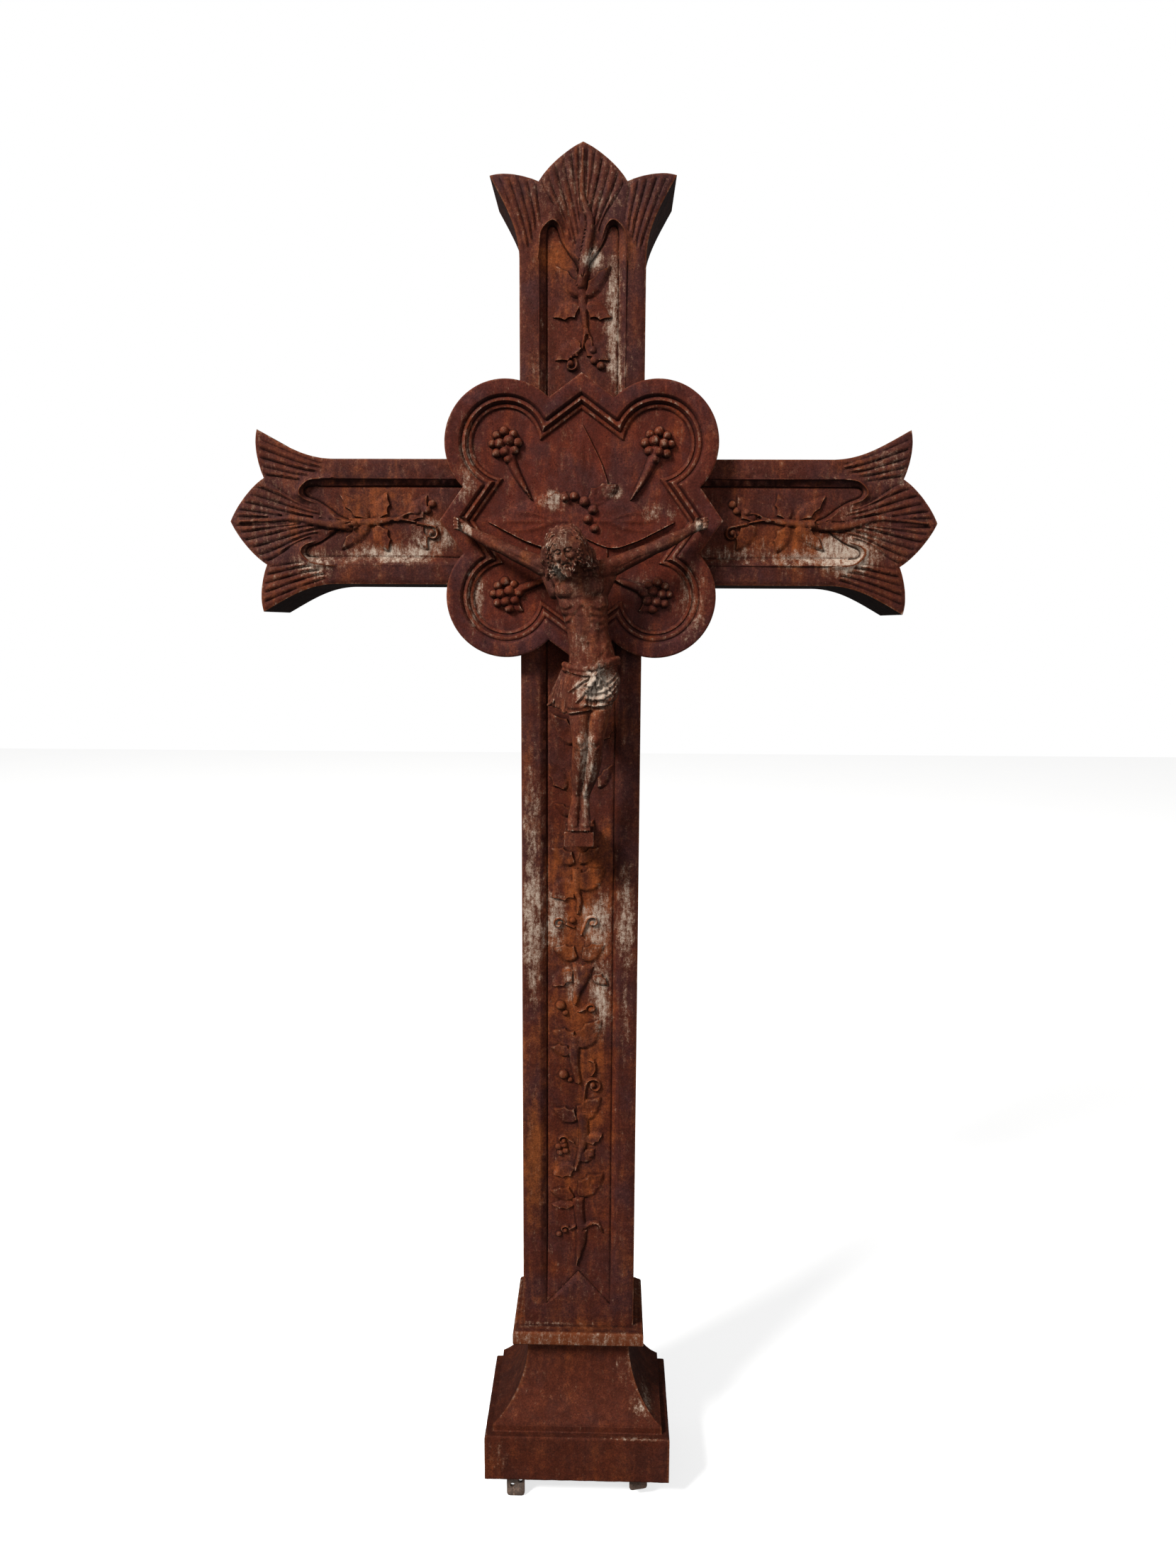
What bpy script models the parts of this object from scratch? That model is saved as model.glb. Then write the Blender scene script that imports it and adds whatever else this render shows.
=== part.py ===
"""Cast iron grave cross with a quatrefoil medallion, a corpus and a flared plinth.

The frame: X runs to the viewer's right, Y away from the viewer, Z up. The origin is on the
underside of the plinth, in the middle of its front wall. All sizes are in metres.
"""
import math

import bmesh
import bpy
import numpy as np
from mathutils import Matrix, Vector, geometry

# Cross
SHAFT_WIDTH = 0.140
CROSS_DEPTH = 0.1045
CROSS_WALL = 0.009
CENTRE_HEIGHT = 1.1843
ARM_REACH = 0.4037
SHAFT_FOOT = 0.1828

# Finials, along and across an arm
FLARE_START = 0.282
EAR_REACH = 0.3693
EAR_SPREAD = 0.1023
NOTCH_REACH = 0.3634
NOTCH_SPREAD = 0.0486

# Sunk panels of the shaft and arms
EDGE_CHAMFER = 0.006
EDGE_DROP = 0.002
PANEL_HALF = 0.040
BEVEL_WIDTH = 0.008
PANEL_DEPTH = 0.006
BEVEL_DEPTH = 0.005
PANEL_START = 0.105
GABLE_TOP = 0.2564
GABLE_FOOT = 0.2130
VINE_RELIEF = 0.0045

# Slab at the foot of the shaft, and the plinth
SLAB_OVERHANG = 0.0129
SLAB_HEIGHT = 0.0205
SLAB_NOSE = 0.0035
BLOCK_WIDTH = 0.2324
BLOCK_HEIGHT = 0.0604
LEDGE_HALF = 0.1065
LEDGE_HEIGHT = 0.0098
NECK_HALF = 0.0648
COLLAR_HALF = 0.0720
COLLAR_HEIGHT = 0.0060
PLINTH_WALL = 0.0100
JOINT_GAP = 0.0003

# Medallion
LOBE_REACH = 0.0845
LOBE_RADIUS = 0.0680
APEX_REACH = 0.159
APEX_SLOPE = math.radians(36.0)
MEDALLION_FRONT = 0.022
RIM_STEPS = [(0.0, -0.0012), (0.0025, 0.0), (0.0155, 0.0), (0.0185, -0.0040), (0.0230, -0.0036), (0.0262, -0.0078),
             (0.0300, -0.0082), (0.0325, -0.0100)]
GRAPE_RADIUS = 0.0058

# Corpus: heights and places are its own proportions, standing in front of the cross
HAND_REACH = 0.1325
FOOT_BLOCK_HALF = 0.0170
FOOT_BLOCK_TOP = 0.8354
FOOT_BLOCK_HEIGHT = 0.0164
FOOT_BLOCK_FRONT = 0.055
FIGURE_VOXEL = 0.0030

# Fixing straps
STRAP_WIDTH = 0.0225
STRAP_THICKNESS = 0.005
STRAP_OFFSET = 0.078
STRAP_UP = 0.045
STRAP_LEFT_DOWN = 0.031
STRAP_RIGHT_DOWN = 0.020
STRAP_HOLE = 0.006

# The face of the shaft lies this far behind the origin
HALF_SHAFT = SHAFT_WIDTH / 2
FIGURE_SCALE = SHAFT_WIDTH / 0.140
BLOCK_OUT = BLOCK_WIDTH / 2 - HALF_SHAFT
FACE_Y = BLOCK_OUT - PLINTH_WALL / 2
BACK_Y = FACE_Y + CROSS_DEPTH
SLAB_BOTTOM = SHAFT_FOOT - SLAB_HEIGHT
PLINTH_TOP = SLAB_BOTTOM - JOINT_GAP


def clear_scene():
    for item in list(bpy.data.objects):
        bpy.data.objects.remove(item, do_unlink=True)


def collection(name):
    found = bpy.data.collections.new(name)
    bpy.context.scene.collection.children.link(found)
    return found


def material(name, colour, roughness, metallic=0.35):
    made = bpy.data.materials.new(name)
    made.use_nodes = True
    shader = made.node_tree.nodes["Principled BSDF"]
    shader.inputs["Base Color"].default_value = (*colour, 1.0)
    shader.inputs["Roughness"].default_value = roughness
    shader.inputs["Metallic"].default_value = metallic
    return made


def add_object(name, mesh, group, surface=None):
    item = bpy.data.objects.new(name, mesh)
    group.objects.link(item)
    if surface:
        mesh.materials.append(surface)
    return item


def cutter(name, mesh):
    item = add_object(name, mesh, cutters)
    item.hide_render = True
    item.display_type = "WIRE"
    return item


def boolean(target, tool, operation):
    step = target.modifiers.new(operation.lower(), "BOOLEAN")
    step.object = tool
    step.operation = operation


def bezier(a, b, c, d, count):
    """The points of a cubic curve, without its first one."""
    a, b, c, d = (np.array(p, float) for p in (a, b, c, d))
    t = np.linspace(0, 1, count + 1)[1:, None]
    return a * (1 - t) ** 3 + 3 * b * t * (1 - t) ** 2 + 3 * c * t ** 2 * (1 - t) + d * t ** 3


def nearest(points, line):
    """The distance from each point to a polyline."""
    best = np.full(len(points), 1e9)
    for a, b in zip(line[:-1], line[1:]):
        run = b - a
        share = np.clip(((points - a) @ run) / max(run @ run, 1e-12), 0, 1)
        best = np.minimum(best, np.linalg.norm(points - a - share[:, None] * run, axis=1))
    return best


def inside(points, loop):
    """Which points lie in a closed outline."""
    x, z = points[:, 0], points[:, 1]
    found = np.zeros(len(points), bool)
    for (ax, az), (bx, bz) in zip(loop, np.roll(loop, -1, axis=0)):
        if az != bz:
            found ^= ((az > z) != (bz > z)) & (x < (bx - ax) * (z - az) / (bz - az) + ax)
    return found


def closed(loop):
    return np.vstack([loop, loop[:1]])


def spread(line, half_widths):
    """The outline of a band of varying width along a line."""
    run = np.gradient(line, axis=0)
    side = np.stack([-run[:, 1], run[:, 0]], axis=1) / np.linalg.norm(run, axis=1)[:, None]
    offset = side * np.asarray(half_widths)[:, None]
    return np.vstack([line + offset, (line - offset)[::-1]])


class Leaf:
    """A raised leaf: zero at its outline, full height along its veins."""

    def __init__(self, outline, veins, height):
        self.outline, self.veins, self.height = np.array(outline), [np.array(v) for v in veins], height

    def lines(self):
        return [closed(self.outline)] + self.veins

    def rise(self, points):
        edge = nearest(points, closed(self.outline))
        vein = np.min([nearest(points, v) for v in self.veins], axis=0)
        return np.where(inside(points, self.outline), self.height * edge / (edge + vein + 1e-9), 0.0)


class Stalk:
    """A raised band that narrows to its ends."""

    def __init__(self, line, half_widths, height):
        self.line, self.half_widths, self.height = np.array(line), np.asarray(half_widths), height
        self.outline = spread(self.line, self.half_widths)

    def lines(self):
        return [closed(self.outline), self.line]

    def rise(self, points):
        edge = nearest(points, closed(self.outline))
        middle = nearest(points, self.line)
        return np.where(inside(points, self.outline), self.height * edge / (edge + middle + 1e-9), 0.0)


class Berry:
    """A round bead standing out of the ground."""

    def __init__(self, centre, radius, height, sides=6):
        self.centre, self.radius, self.height = np.array(centre), radius, height
        self.turn = np.linspace(0, 2 * math.pi, sides + 1)

    def ring(self, share):
        return self.centre + self.radius * share * np.stack([np.cos(self.turn), np.sin(self.turn)], axis=1)

    def lines(self):
        return [self.ring(1.0), self.ring(0.62), np.vstack([self.centre, self.ring(0.62)[:1]])]

    def rise(self, points):
        away = np.linalg.norm(points - self.centre, axis=1) / self.radius
        return self.height * np.sqrt(np.clip(1 - away ** 2, 0, 1))


class Place:
    """Turns sizes along and across a direction into points of the face."""

    def __init__(self, centre, direction):
        self.centre = np.array(centre, float)
        self.along = np.array(direction, float)
        self.across = np.array([-direction[1], direction[0]], float)

    def __call__(self, pairs):
        pairs = np.atleast_2d(np.array(pairs, float))
        return self.centre + pairs[:, :1] * self.along + pairs[:, 1:] * self.across

    def local(self, points):
        away = points - self.centre
        return np.stack([away @ self.along, away @ self.across], axis=1)


def vine_leaf(place, size, height):
    """A vine leaf of five lobes, its stem at the place's centre."""
    turns = np.radians([-150, -118, -95, -62, -38, -20, 0, 20, 38, 62, 95, 118, 150])
    reach = np.array([0.30, 0.62, 0.50, 0.80, 0.58, 0.72, 1.0, 0.72, 0.58, 0.80, 0.50, 0.62, 0.30]) * size
    shift = size * 0.25
    outline = np.stack([reach * np.cos(turns) + shift, reach * np.sin(turns)], axis=1)
    veins = [[[0.0, 0.0], [shift + size * 0.80, 0.0]]]
    veins += [[[size * 0.12, 0.0], [shift + size * 0.60 * math.cos(t), size * 0.60 * math.sin(t)]]
              for t in np.radians([-62, 62])]
    return Leaf(place(outline), [place(v) for v in veins], height)


def scroll(place, radius, turns, width, height, steps=14):
    """A tendril that runs out from the place's centre and curls up."""
    share = np.linspace(0, 1, steps)
    angle = -math.pi / 2 + share * turns * 2 * math.pi
    reach = radius * (1 - 0.72 * share)
    line = np.stack([radius * 1.1 + reach * np.cos(angle), radius + reach * np.sin(angle)], axis=1)
    line = np.vstack([[0.0, 0.0], line])
    return Stalk(place(line), width * np.linspace(1.0, 0.45, steps + 1), height)


def arm_side():
    """One side of an arm from the start of its flare to its tip, as sizes along and across."""
    flare = bezier((FLARE_START, HALF_SHAFT), (0.315, HALF_SHAFT), (0.337, 0.084), (EAR_REACH, EAR_SPREAD), 7)
    ear = bezier((EAR_REACH, EAR_SPREAD), (0.3745, 0.0850), (0.3690, 0.0620), (NOTCH_REACH, NOTCH_SPREAD), 4)
    leaf = bezier((NOTCH_REACH, NOTCH_SPREAD), (0.3787, 0.0392), (0.3969, 0.0167), (ARM_REACH, 0.0), 6)
    return np.vstack([[(FLARE_START, HALF_SHAFT)], flare, ear, leaf])


def cross_outline(inset=0.0):
    """The outline of shaft, arms and finials, or of the hollow behind them."""
    centre = (0.0, CENTRE_HEIGHT)
    half = HALF_SHAFT - inset
    if inset:
        side = np.array([(FLARE_START, half), (0.330, half + 0.004), (EAR_REACH - 2.0 * inset, EAR_SPREAD - 2.2 * inset),
                         (NOTCH_REACH - inset, NOTCH_SPREAD - 0.6 * inset), (ARM_REACH - 1.2 * inset, 0.0)])
        foot = SHAFT_FOOT
    else:
        side = arm_side()
        foot = SHAFT_FOOT - SLAB_HEIGHT / 2
    points = [[(half, foot)], [(half, CENTRE_HEIGHT - half)]]
    for direction, corner in (((1, 0), (half, half)), ((0, 1), (-half, half)), ((-1, 0), (-half, -half))):
        arm = Place(centre, direction)
        points += [arm(side * [1, -1]), arm(side[-2::-1]), [np.array(centre) + corner]]
    points += [[(-half, foot)]]
    return np.vstack(points)


def panel_lines():
    """The floor outline of an arm's sunk panel and the outline of its bevel, along and across."""
    floor = [(PANEL_START, PANEL_HALF), (0.306, PANEL_HALF), (0.3150, 0.0385), (0.3185, 0.0340), (0.3150, 0.0285),
             (0.3020, 0.0235), (0.2900, 0.0160), (0.2780, 0.0070), (0.2640, 0.0015)]
    bevel = [(PANEL_START - 0.004, PANEL_HALF + BEVEL_WIDTH), (0.296, PANEL_HALF + BEVEL_WIDTH), (0.3140, 0.0440),
             (0.3225, 0.0345), (0.3180, 0.0265), (0.3045, 0.0208), (0.2925, 0.0133), (0.2805, 0.0040), (0.2665, 0.0)]
    floor = floor + [(d, -s) for d, s in floor[::-1]]
    bevel = bevel + [(d, -s) for d, s in bevel[-2::-1]]
    return np.array(floor), np.array(bevel)


def shaft_panel_lines():
    """The same two outlines for the shaft, measured down from the crossing; it ends over a gable."""
    top, foot = CENTRE_HEIGHT - GABLE_TOP, CENTRE_HEIGHT - GABLE_FOOT
    floor = [(PANEL_START, PANEL_HALF), (foot, PANEL_HALF), (top, 0.0), (foot, -PANEL_HALF),
             (PANEL_START, -PANEL_HALF)]
    out = PANEL_HALF + BEVEL_WIDTH
    bevel = [(PANEL_START - 0.004, out), (foot + BEVEL_WIDTH, out), (top + 0.010, 0.0), (foot + BEVEL_WIDTH, -out),
             (PANEL_START - 0.004, -out)]
    return np.array(floor), np.array(bevel)


def palmette_rays():
    """The crests and the grooves that fan out over a finial, along and across."""
    crests, grooves = [], []
    for side in (1, -1):
        for tip in ((0.3925, 0.0190), (0.3765, 0.0350)):
            root = (0.2900, 0.0035 * side)
            crests.append(bezier(root, (0.318, 0.008 * side), (0.345, tip[1] * 0.55 * side), (tip[0], tip[1] * side), 4))
        for tip in ((0.3985, 0.0095), (0.3850, 0.0275)):
            root = (0.2980, 0.0060 * side)
            grooves.append(bezier(root, (0.325, 0.007 * side), (0.350, tip[1] * 0.6 * side), (tip[0], tip[1] * side), 4))
        grooves.append(bezier((0.3200, 0.0300 * side), (0.330, 0.034 * side), (0.345, 0.040 * side),
                              (NOTCH_REACH - 0.003, NOTCH_SPREAD * side), 4))
        for root, tip in ((0.0460, 0.0625), (0.0540, 0.0790), (0.0610, 0.0935)):
            crests.append(bezier((0.3080, root * side), (0.326, (root + 0.001) * side),
                                 (0.343, (root * 0.5 + tip * 0.5) * side), (0.3640, tip * side), 4))
        for root, tip in ((0.0500, 0.0705), (0.0580, 0.0865)):
            grooves.append(bezier((0.3100, root * side), (0.328, (root + 0.001) * side),
                                  (0.344, (root * 0.5 + tip * 0.5) * side), (0.3655, tip * side), 4))
    crests.append(np.array([(0.2850, 0.0), (0.320, 0.0), (0.360, 0.0), (0.3990, 0.0)]))
    return crests, grooves


def arm_vine(place, number):
    """Leaves, stalk and berries on the short panel of an arm."""
    side = 1 if number % 2 else -1
    items = [Stalk(place([(0.268, 0.0), (0.245, 0.003 * side), (0.220, -0.003 * side), (0.195, 0.004 * side),
                          (0.165, 0.0)]), [0.0050, 0.0045, 0.0035, 0.0035, 0.0025], VINE_RELIEF)]
    for reach, turn, size in ((0.262, 1, 0.024), (0.258, -1, 0.022), (0.215, side, 0.021), (0.205, -side, 0.019)):
        angle = math.radians(128 * turn)
        base = place([(reach, 0.004 * turn)])[0]
        heading = place.along * math.cos(angle) + place.across * math.sin(angle)
        items.append(vine_leaf(Place(base, heading), size, VINE_RELIEF))
    for step in ((0.183, 0.016), (0.174, 0.011), (0.177, 0.022)):
        items.append(Berry(place([(step[0], step[1] * side)])[0], 0.0050, 0.005, 6))
    items.append(scroll(Place(place([(0.190, -0.003 * side)])[0], -place.along), 0.008, 0.8, 0.0022 , VINE_RELIEF, 9))
    return items


def shaft_vine():
    """The climbing vine of the shaft: pairs of leaves over curls and berries, five times."""
    items = []
    heights = [0.7170, 0.6128, 0.5125, 0.4240, 0.3194]
    up = Place((0.0, 0.0), (0, 1))
    for number, height in enumerate(heights):
        side = 1 if number % 2 else -1
        stalk = [(height + 0.050, 0.0), (height + 0.030, 0.0015 * side), (height + 0.008, 0.0), (height - 0.010, 0.0)]
        items.append(Stalk(up(stalk), [0.0095, 0.0070, 0.0040, 0.0025], VINE_RELIEF))
        for turn in (1, -1):
            for lift, angle, size in ((0.036, 38, 0.023), (0.066, 52, 0.018)):
                heading = np.array([math.sin(math.radians(angle)) * turn, math.cos(math.radians(angle))])
                base = (0.006 * turn, height + lift - 0.012)
                items.append(vine_leaf(Place(base, heading), size, VINE_RELIEF))
        curl = Place((0.004 * side, height + 0.004), (side, 0))
        if side < 0:
            curl.across = np.array([0.0, 1.0])
        items.append(scroll(curl, 0.0095, 0.9, 0.0024, VINE_RELIEF, 10))
        for step in ((0.020, 0.004), (0.027, -0.003), (0.019, -0.006)):
            items.append(Berry((-step[0] * side, height + step[1]), 0.0046, 0.0048, 6))
    items.append(Stalk(up([(0.3150, 0.0), (0.2950, 0.004), (0.2700, -0.002)]), [0.006, 0.005, 0.001], VINE_RELIEF))
    return items


class CrossFace:
    """The carved front of the cross."""

    def __init__(self):
        centre = (0.0, CENTRE_HEIGHT)
        self.outline = cross_outline()
        self.arms = [Place(centre, (1, 0)), Place(centre, (0, 1)), Place(centre, (-1, 0))]
        self.shaft = Place(centre, (0, -1))
        self.floor, self.bevel = panel_lines()
        self.shaft_floor, self.shaft_bevel = shaft_panel_lines()
        self.crests, self.grooves = palmette_rays()
        self.motifs = shaft_vine()
        for number, arm in enumerate(self.arms):
            self.motifs += arm_vine(arm, number)
        top = FOOT_BLOCK_TOP + 0.002
        low = FOOT_BLOCK_TOP - FOOT_BLOCK_HEIGHT - 0.002
        self.pad = np.array([(-0.014, low), (0.014, low), (0.014, top), (-0.014, top)])
        self.pad_foot = np.array([(-0.017, low - 0.003), (0.017, low - 0.003), (0.017, top + 0.003), (-0.017, top + 0.003)])

    def lines(self):
        found = [closed(self.outline)]
        for arm in self.arms:
            found += [closed(arm(self.floor)), closed(arm(self.bevel))]
            found += [arm(line) for line in self.crests + self.grooves]
            for side in (1, -1):
                edge = (HALF_SHAFT - EDGE_CHAMFER) * side
                found.append(arm([(PANEL_START, edge), (0.200, edge), (FLARE_START, edge)]))
        found += [closed(self.shaft(self.shaft_floor)), closed(self.shaft(self.shaft_bevel))]
        for side in (1, -1):
            edge = (HALF_SHAFT - EDGE_CHAMFER) * side
            found.append(np.array([(edge, SHAFT_FOOT + 0.002), (edge, CENTRE_HEIGHT - PANEL_START)]))
        for motif in self.motifs:
            found += motif.lines()
        return found + [closed(self.pad), closed(self.pad_foot)]

    def rise(self, points):
        """How far each point stands in front of the plain face; sunk places are negative."""
        height = np.zeros(len(points))
        on_edge = nearest(points, closed(self.outline)) < 1e-5
        for place, floor, bevel, is_arm in [(arm, self.floor, self.bevel, True) for arm in self.arms] + [
                (self.shaft, self.shaft_floor, self.shaft_bevel, False)]:
            local = place.local(points)
            in_floor = inside(local, floor) | (nearest(local, closed(floor)) < 1e-5)
            in_bevel = inside(local, bevel) & ~in_floor
            to_floor, to_bevel = nearest(local, closed(floor)), nearest(local, closed(bevel))
            slope = -BEVEL_DEPTH * to_bevel / (to_bevel + to_floor + 1e-9)
            height = np.where(in_bevel, slope, np.where(in_floor, -PANEL_DEPTH, height))
            if is_arm:
                crest = np.min([nearest(local, line) for line in self.crests], axis=0)
                groove = np.min([nearest(local, line) for line in self.grooves], axis=0)
                wave = 0.0016 - 0.0046 * crest / (crest + groove + 1e-9)
                fan = (local[:, 0] > 0.284) & ~in_floor & ~in_bevel & ~on_edge
                height = np.where(fan, wave, height)
        sunk = height.copy()
        for motif in self.motifs:
            height = np.maximum(height, np.where(sunk < -0.0055, sunk + motif.rise(points), -1.0))
        to_pad, to_foot = nearest(points, closed(self.pad)), nearest(points, closed(self.pad_foot))
        on_pad = inside(points, self.pad) | (to_pad < 1e-5)
        on_slope = inside(points, self.pad_foot) & ~on_pad
        height = np.where(on_pad, 0.0, np.where(on_slope, -PANEL_DEPTH * to_pad / (to_pad + to_foot + 1e-9), height))
        return np.where(on_edge, -EDGE_DROP, height)


def quatrefoil(inset, arc_points=11):
    """The barbed quatrefoil, moved in by an inset, as points around the medallion's centre."""
    run = np.array([math.cos(APEX_SLOPE), -math.sin(APEX_SLOPE)])
    apex = np.array([0.0, APEX_REACH - inset / math.cos(APEX_SLOPE)])
    lobe = np.array([LOBE_REACH, LOBE_REACH])
    radius = LOBE_RADIUS - inset
    away = apex - lobe
    middle = away @ run
    reach = -middle - math.sqrt(max(middle ** 2 - (away @ away - radius ** 2), 0.0))
    notch = apex + reach * run
    start = math.atan2(notch[1] - lobe[1], notch[0] - lobe[0])
    angles = np.linspace(start, math.pi / 2 - start, arc_points)
    arc = lobe + radius * np.stack([np.cos(angles), np.sin(angles)], axis=1)
    quarter = np.vstack([apex, arc])
    turned = [quarter @ np.array([[math.cos(a), -math.sin(a)], [math.sin(a), math.cos(a)]])
              for a in (0, math.pi / 2, math.pi, 3 * math.pi / 2)]
    return np.vstack(turned)


class MedallionFace:
    """The carved front of the medallion, measured from its own centre."""

    def __init__(self):
        self.outline = quatrefoil(0.0)
        self.rings = [quatrefoil(inset) for inset, _ in RIM_STEPS]
        self.field = RIM_STEPS[-1][1]
        self.motifs = []
        for angle in (0, 90, 180, 270):
            heading = np.array([math.cos(math.radians(angle)), math.sin(math.radians(angle))])
            star = [(0.006, 0.016), (0.030, 0.031), (0.060, 0.023), (0.085, 0.012), (0.109, 0.0)]
            outline = star + [(d, -s) for d, s in star[-2::-1]]
            place = Place((0, 0), heading)
            self.motifs.append(Leaf(place(outline), [place([(0.012, 0.0), (0.060, 0.0), (0.096, 0.0)])], 0.0032))
        for right in (1, -1):
            for up in (1, -1):
                self.motifs += self.cluster(np.array([LOBE_REACH * right, LOBE_REACH * up]), right, up)
        for x, z, radius in ((0.004, 0.021, 0.0062), (-0.008, 0.026, 0.0055), (0.015, 0.012, 0.0060),
                             (0.019, 0.001, 0.0058), (-0.018, 0.022, 0.0050), (0.021, -0.012, 0.0055)):
            self.motifs.append(Berry((x, z), radius, 0.006))
        self.motifs.append(vine_leaf(Place((0.012, 0.014), np.array([0.8, 0.6])), 0.022, 0.004))

    def cluster(self, centre, right, up):
        """Grapes with a leaf under them and a stalk to the middle."""
        end = np.array([0.052 * right, 0.024 * up])
        stalk = np.array([centre + (end - centre) * t for t in (0.0, 0.35, 0.7, 1.0)])
        items = [Stalk(stalk, [0.010, 0.0075, 0.0050, 0.0020], 0.004)]
        for row, count in enumerate((2, 3, 3, 2)):
            for place in range(count):
                shift = np.array([(place - (count - 1) / 2) * GRAPE_RADIUS * 1.85, (1.5 - row) * GRAPE_RADIUS * 1.65])
                items.append(Berry(centre + shift, GRAPE_RADIUS, 0.0085 if 0 < row < 3 else 0.0065, 6))
        if up < 0:
            leaf = Place(centre + [0.010 * right, -0.002], np.array([0.35 * right, -0.94]))
            items.append(vine_leaf(leaf, 0.020, 0.0028))
        return items

    def lines(self):
        found = [closed(ring) for ring in self.rings]
        for motif in self.motifs:
            found += motif.lines()
        return found

    def rise(self, points):
        height = np.full(len(points), self.field)
        for number in range(len(self.rings) - 1, 0, -1):
            outer, inner = closed(self.rings[number - 1]), closed(self.rings[number])
            high, low = RIM_STEPS[number - 1][1], RIM_STEPS[number][1]
            to_outer, to_inner = nearest(points, outer), nearest(points, inner)
            between = ~inside(points, self.rings[number]) | (to_inner < 1e-5)
            height = np.where(between, high + (low - high) * to_outer / (to_outer + to_inner + 1e-9), height)
        ground = self.field
        on_field = inside(points, self.rings[-1])
        for motif in self.motifs:
            height = np.maximum(height, np.where(on_field, ground + motif.rise(points), -1.0))
        return height


def carved_block(face, centre, front, back):
    """A closed mesh: the carved face in front, straight walls, a flat back."""
    points, edges = [], []
    for line in face.lines():
        first = len(points)
        points += [Vector(p) for p in line]
        edges += [(first + i, first + i + 1) for i in range(len(line) - 1)]
    found, _, triangles, _, _, _ = geometry.delaunay_2d_cdt(points, edges, [], 0, 2e-4)
    flat = np.array([(p.x, p.y) for p in found])
    corners = flat[np.array(triangles)]
    keep = inside(corners.mean(axis=1), face.outline)
    height = face.rise(flat)
    mesh = bmesh.new()
    made = [mesh.verts.new((x + centre[0], front - h, z + centre[1])) for (x, z), h in zip(flat, height)]
    for triangle, wanted in zip(triangles, keep):
        if wanted:
            mesh.faces.new([made[i] for i in triangle])
    loose = [v for v in mesh.verts if not v.link_faces]
    bmesh.ops.delete(mesh, geom=loose, context="VERTS")
    border = [e for e in mesh.edges if e.is_boundary]
    pushed = bmesh.ops.extrude_edge_only(mesh, edges=border)["geom"]
    for vert in (v for v in pushed if isinstance(v, bmesh.types.BMVert)):
        vert.co.y = back
    bmesh.ops.holes_fill(mesh, edges=[e for e in mesh.edges if e.is_boundary], sides=0)
    return finish(mesh)


def finish(mesh):
    """Turns a bmesh into a mesh with its faces pointing out."""
    bmesh.ops.recalc_face_normals(mesh, faces=mesh.faces)
    made = bpy.data.meshes.new("mesh")
    mesh.to_mesh(made)
    mesh.free()
    return made


def prism(outline, front, back):
    """An outline in the XZ plane as a closed solid from front to back."""
    mesh = bmesh.new()
    face = mesh.faces.new([mesh.verts.new((x, front, z)) for x, z in outline])
    moved = bmesh.ops.extrude_face_region(mesh, geom=[face])["geom"]
    bmesh.ops.translate(mesh, verts=[v for v in moved if isinstance(v, bmesh.types.BMVert)], vec=(0, back - front, 0))
    return finish(mesh)


def box(low, high):
    mesh = bmesh.new()
    bmesh.ops.create_cube(mesh, size=1.0)
    size = Vector(high) - Vector(low)
    middle = (Vector(high) + Vector(low)) / 2
    bmesh.ops.transform(mesh, verts=mesh.verts, matrix=Matrix.Translation(middle) @ Matrix.Diagonal((*size, 1.0)))
    return finish(mesh)


def stack(sections, back):
    """Rectangular sections at rising heights, flush at the back: a list of height, half width and front."""
    mesh = bmesh.new()
    rings = []
    for height, half, front in sections:
        corners = ((-half, front), (half, front), (half, back), (-half, back))
        rings.append([mesh.verts.new((x, y, height)) for x, y in corners])
    for low, high in zip(rings[:-1], rings[1:]):
        for i, j in ((3, 0), (0, 1), (1, 2)):
            mesh.faces.new((low[i], low[j], high[j], high[i]))
    mesh.faces.new([ring[2] for ring in rings] + [ring[3] for ring in rings[::-1]])
    mesh.faces.new(rings[0][::-1])
    mesh.faces.new(rings[-1])
    return finish(mesh)


def make_cross(iron):
    face = CrossFace()
    cross = add_object("cross", carved_block(face, (0.0, 0.0), FACE_Y, BACK_Y), parts, iron)
    half = HALF_SHAFT + SLAB_OVERHANG
    front = FACE_Y - SLAB_OVERHANG
    nose = SLAB_NOSE
    slab_top = SHAFT_FOOT
    sections = [(SLAB_BOTTOM, half - nose, front + nose), (SLAB_BOTTOM + nose, half, front),
                (slab_top - nose * 1.4, half, front), (slab_top - nose * 0.4, half - nose * 0.5, front + nose * 0.5),
                (slab_top, half - nose * 1.6, front + nose * 1.6)]
    slab = cutter("slab_shape", stack(sections, BACK_Y))
    boolean(cross, slab, "UNION")
    hollow = cutter("cross_hollow", prism(cross_outline(CROSS_WALL), FACE_Y + PANEL_DEPTH + CROSS_WALL, BACK_Y + 0.02))
    boolean(cross, hollow, "DIFFERENCE")
    return cross


def make_medallion(iron):
    face = MedallionFace()
    front = FACE_Y - MEDALLION_FRONT
    mesh = carved_block(face, (0.0, CENTRE_HEIGHT), front, FACE_Y - JOINT_GAP)
    return add_object("medallion", mesh, parts, iron)


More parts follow.
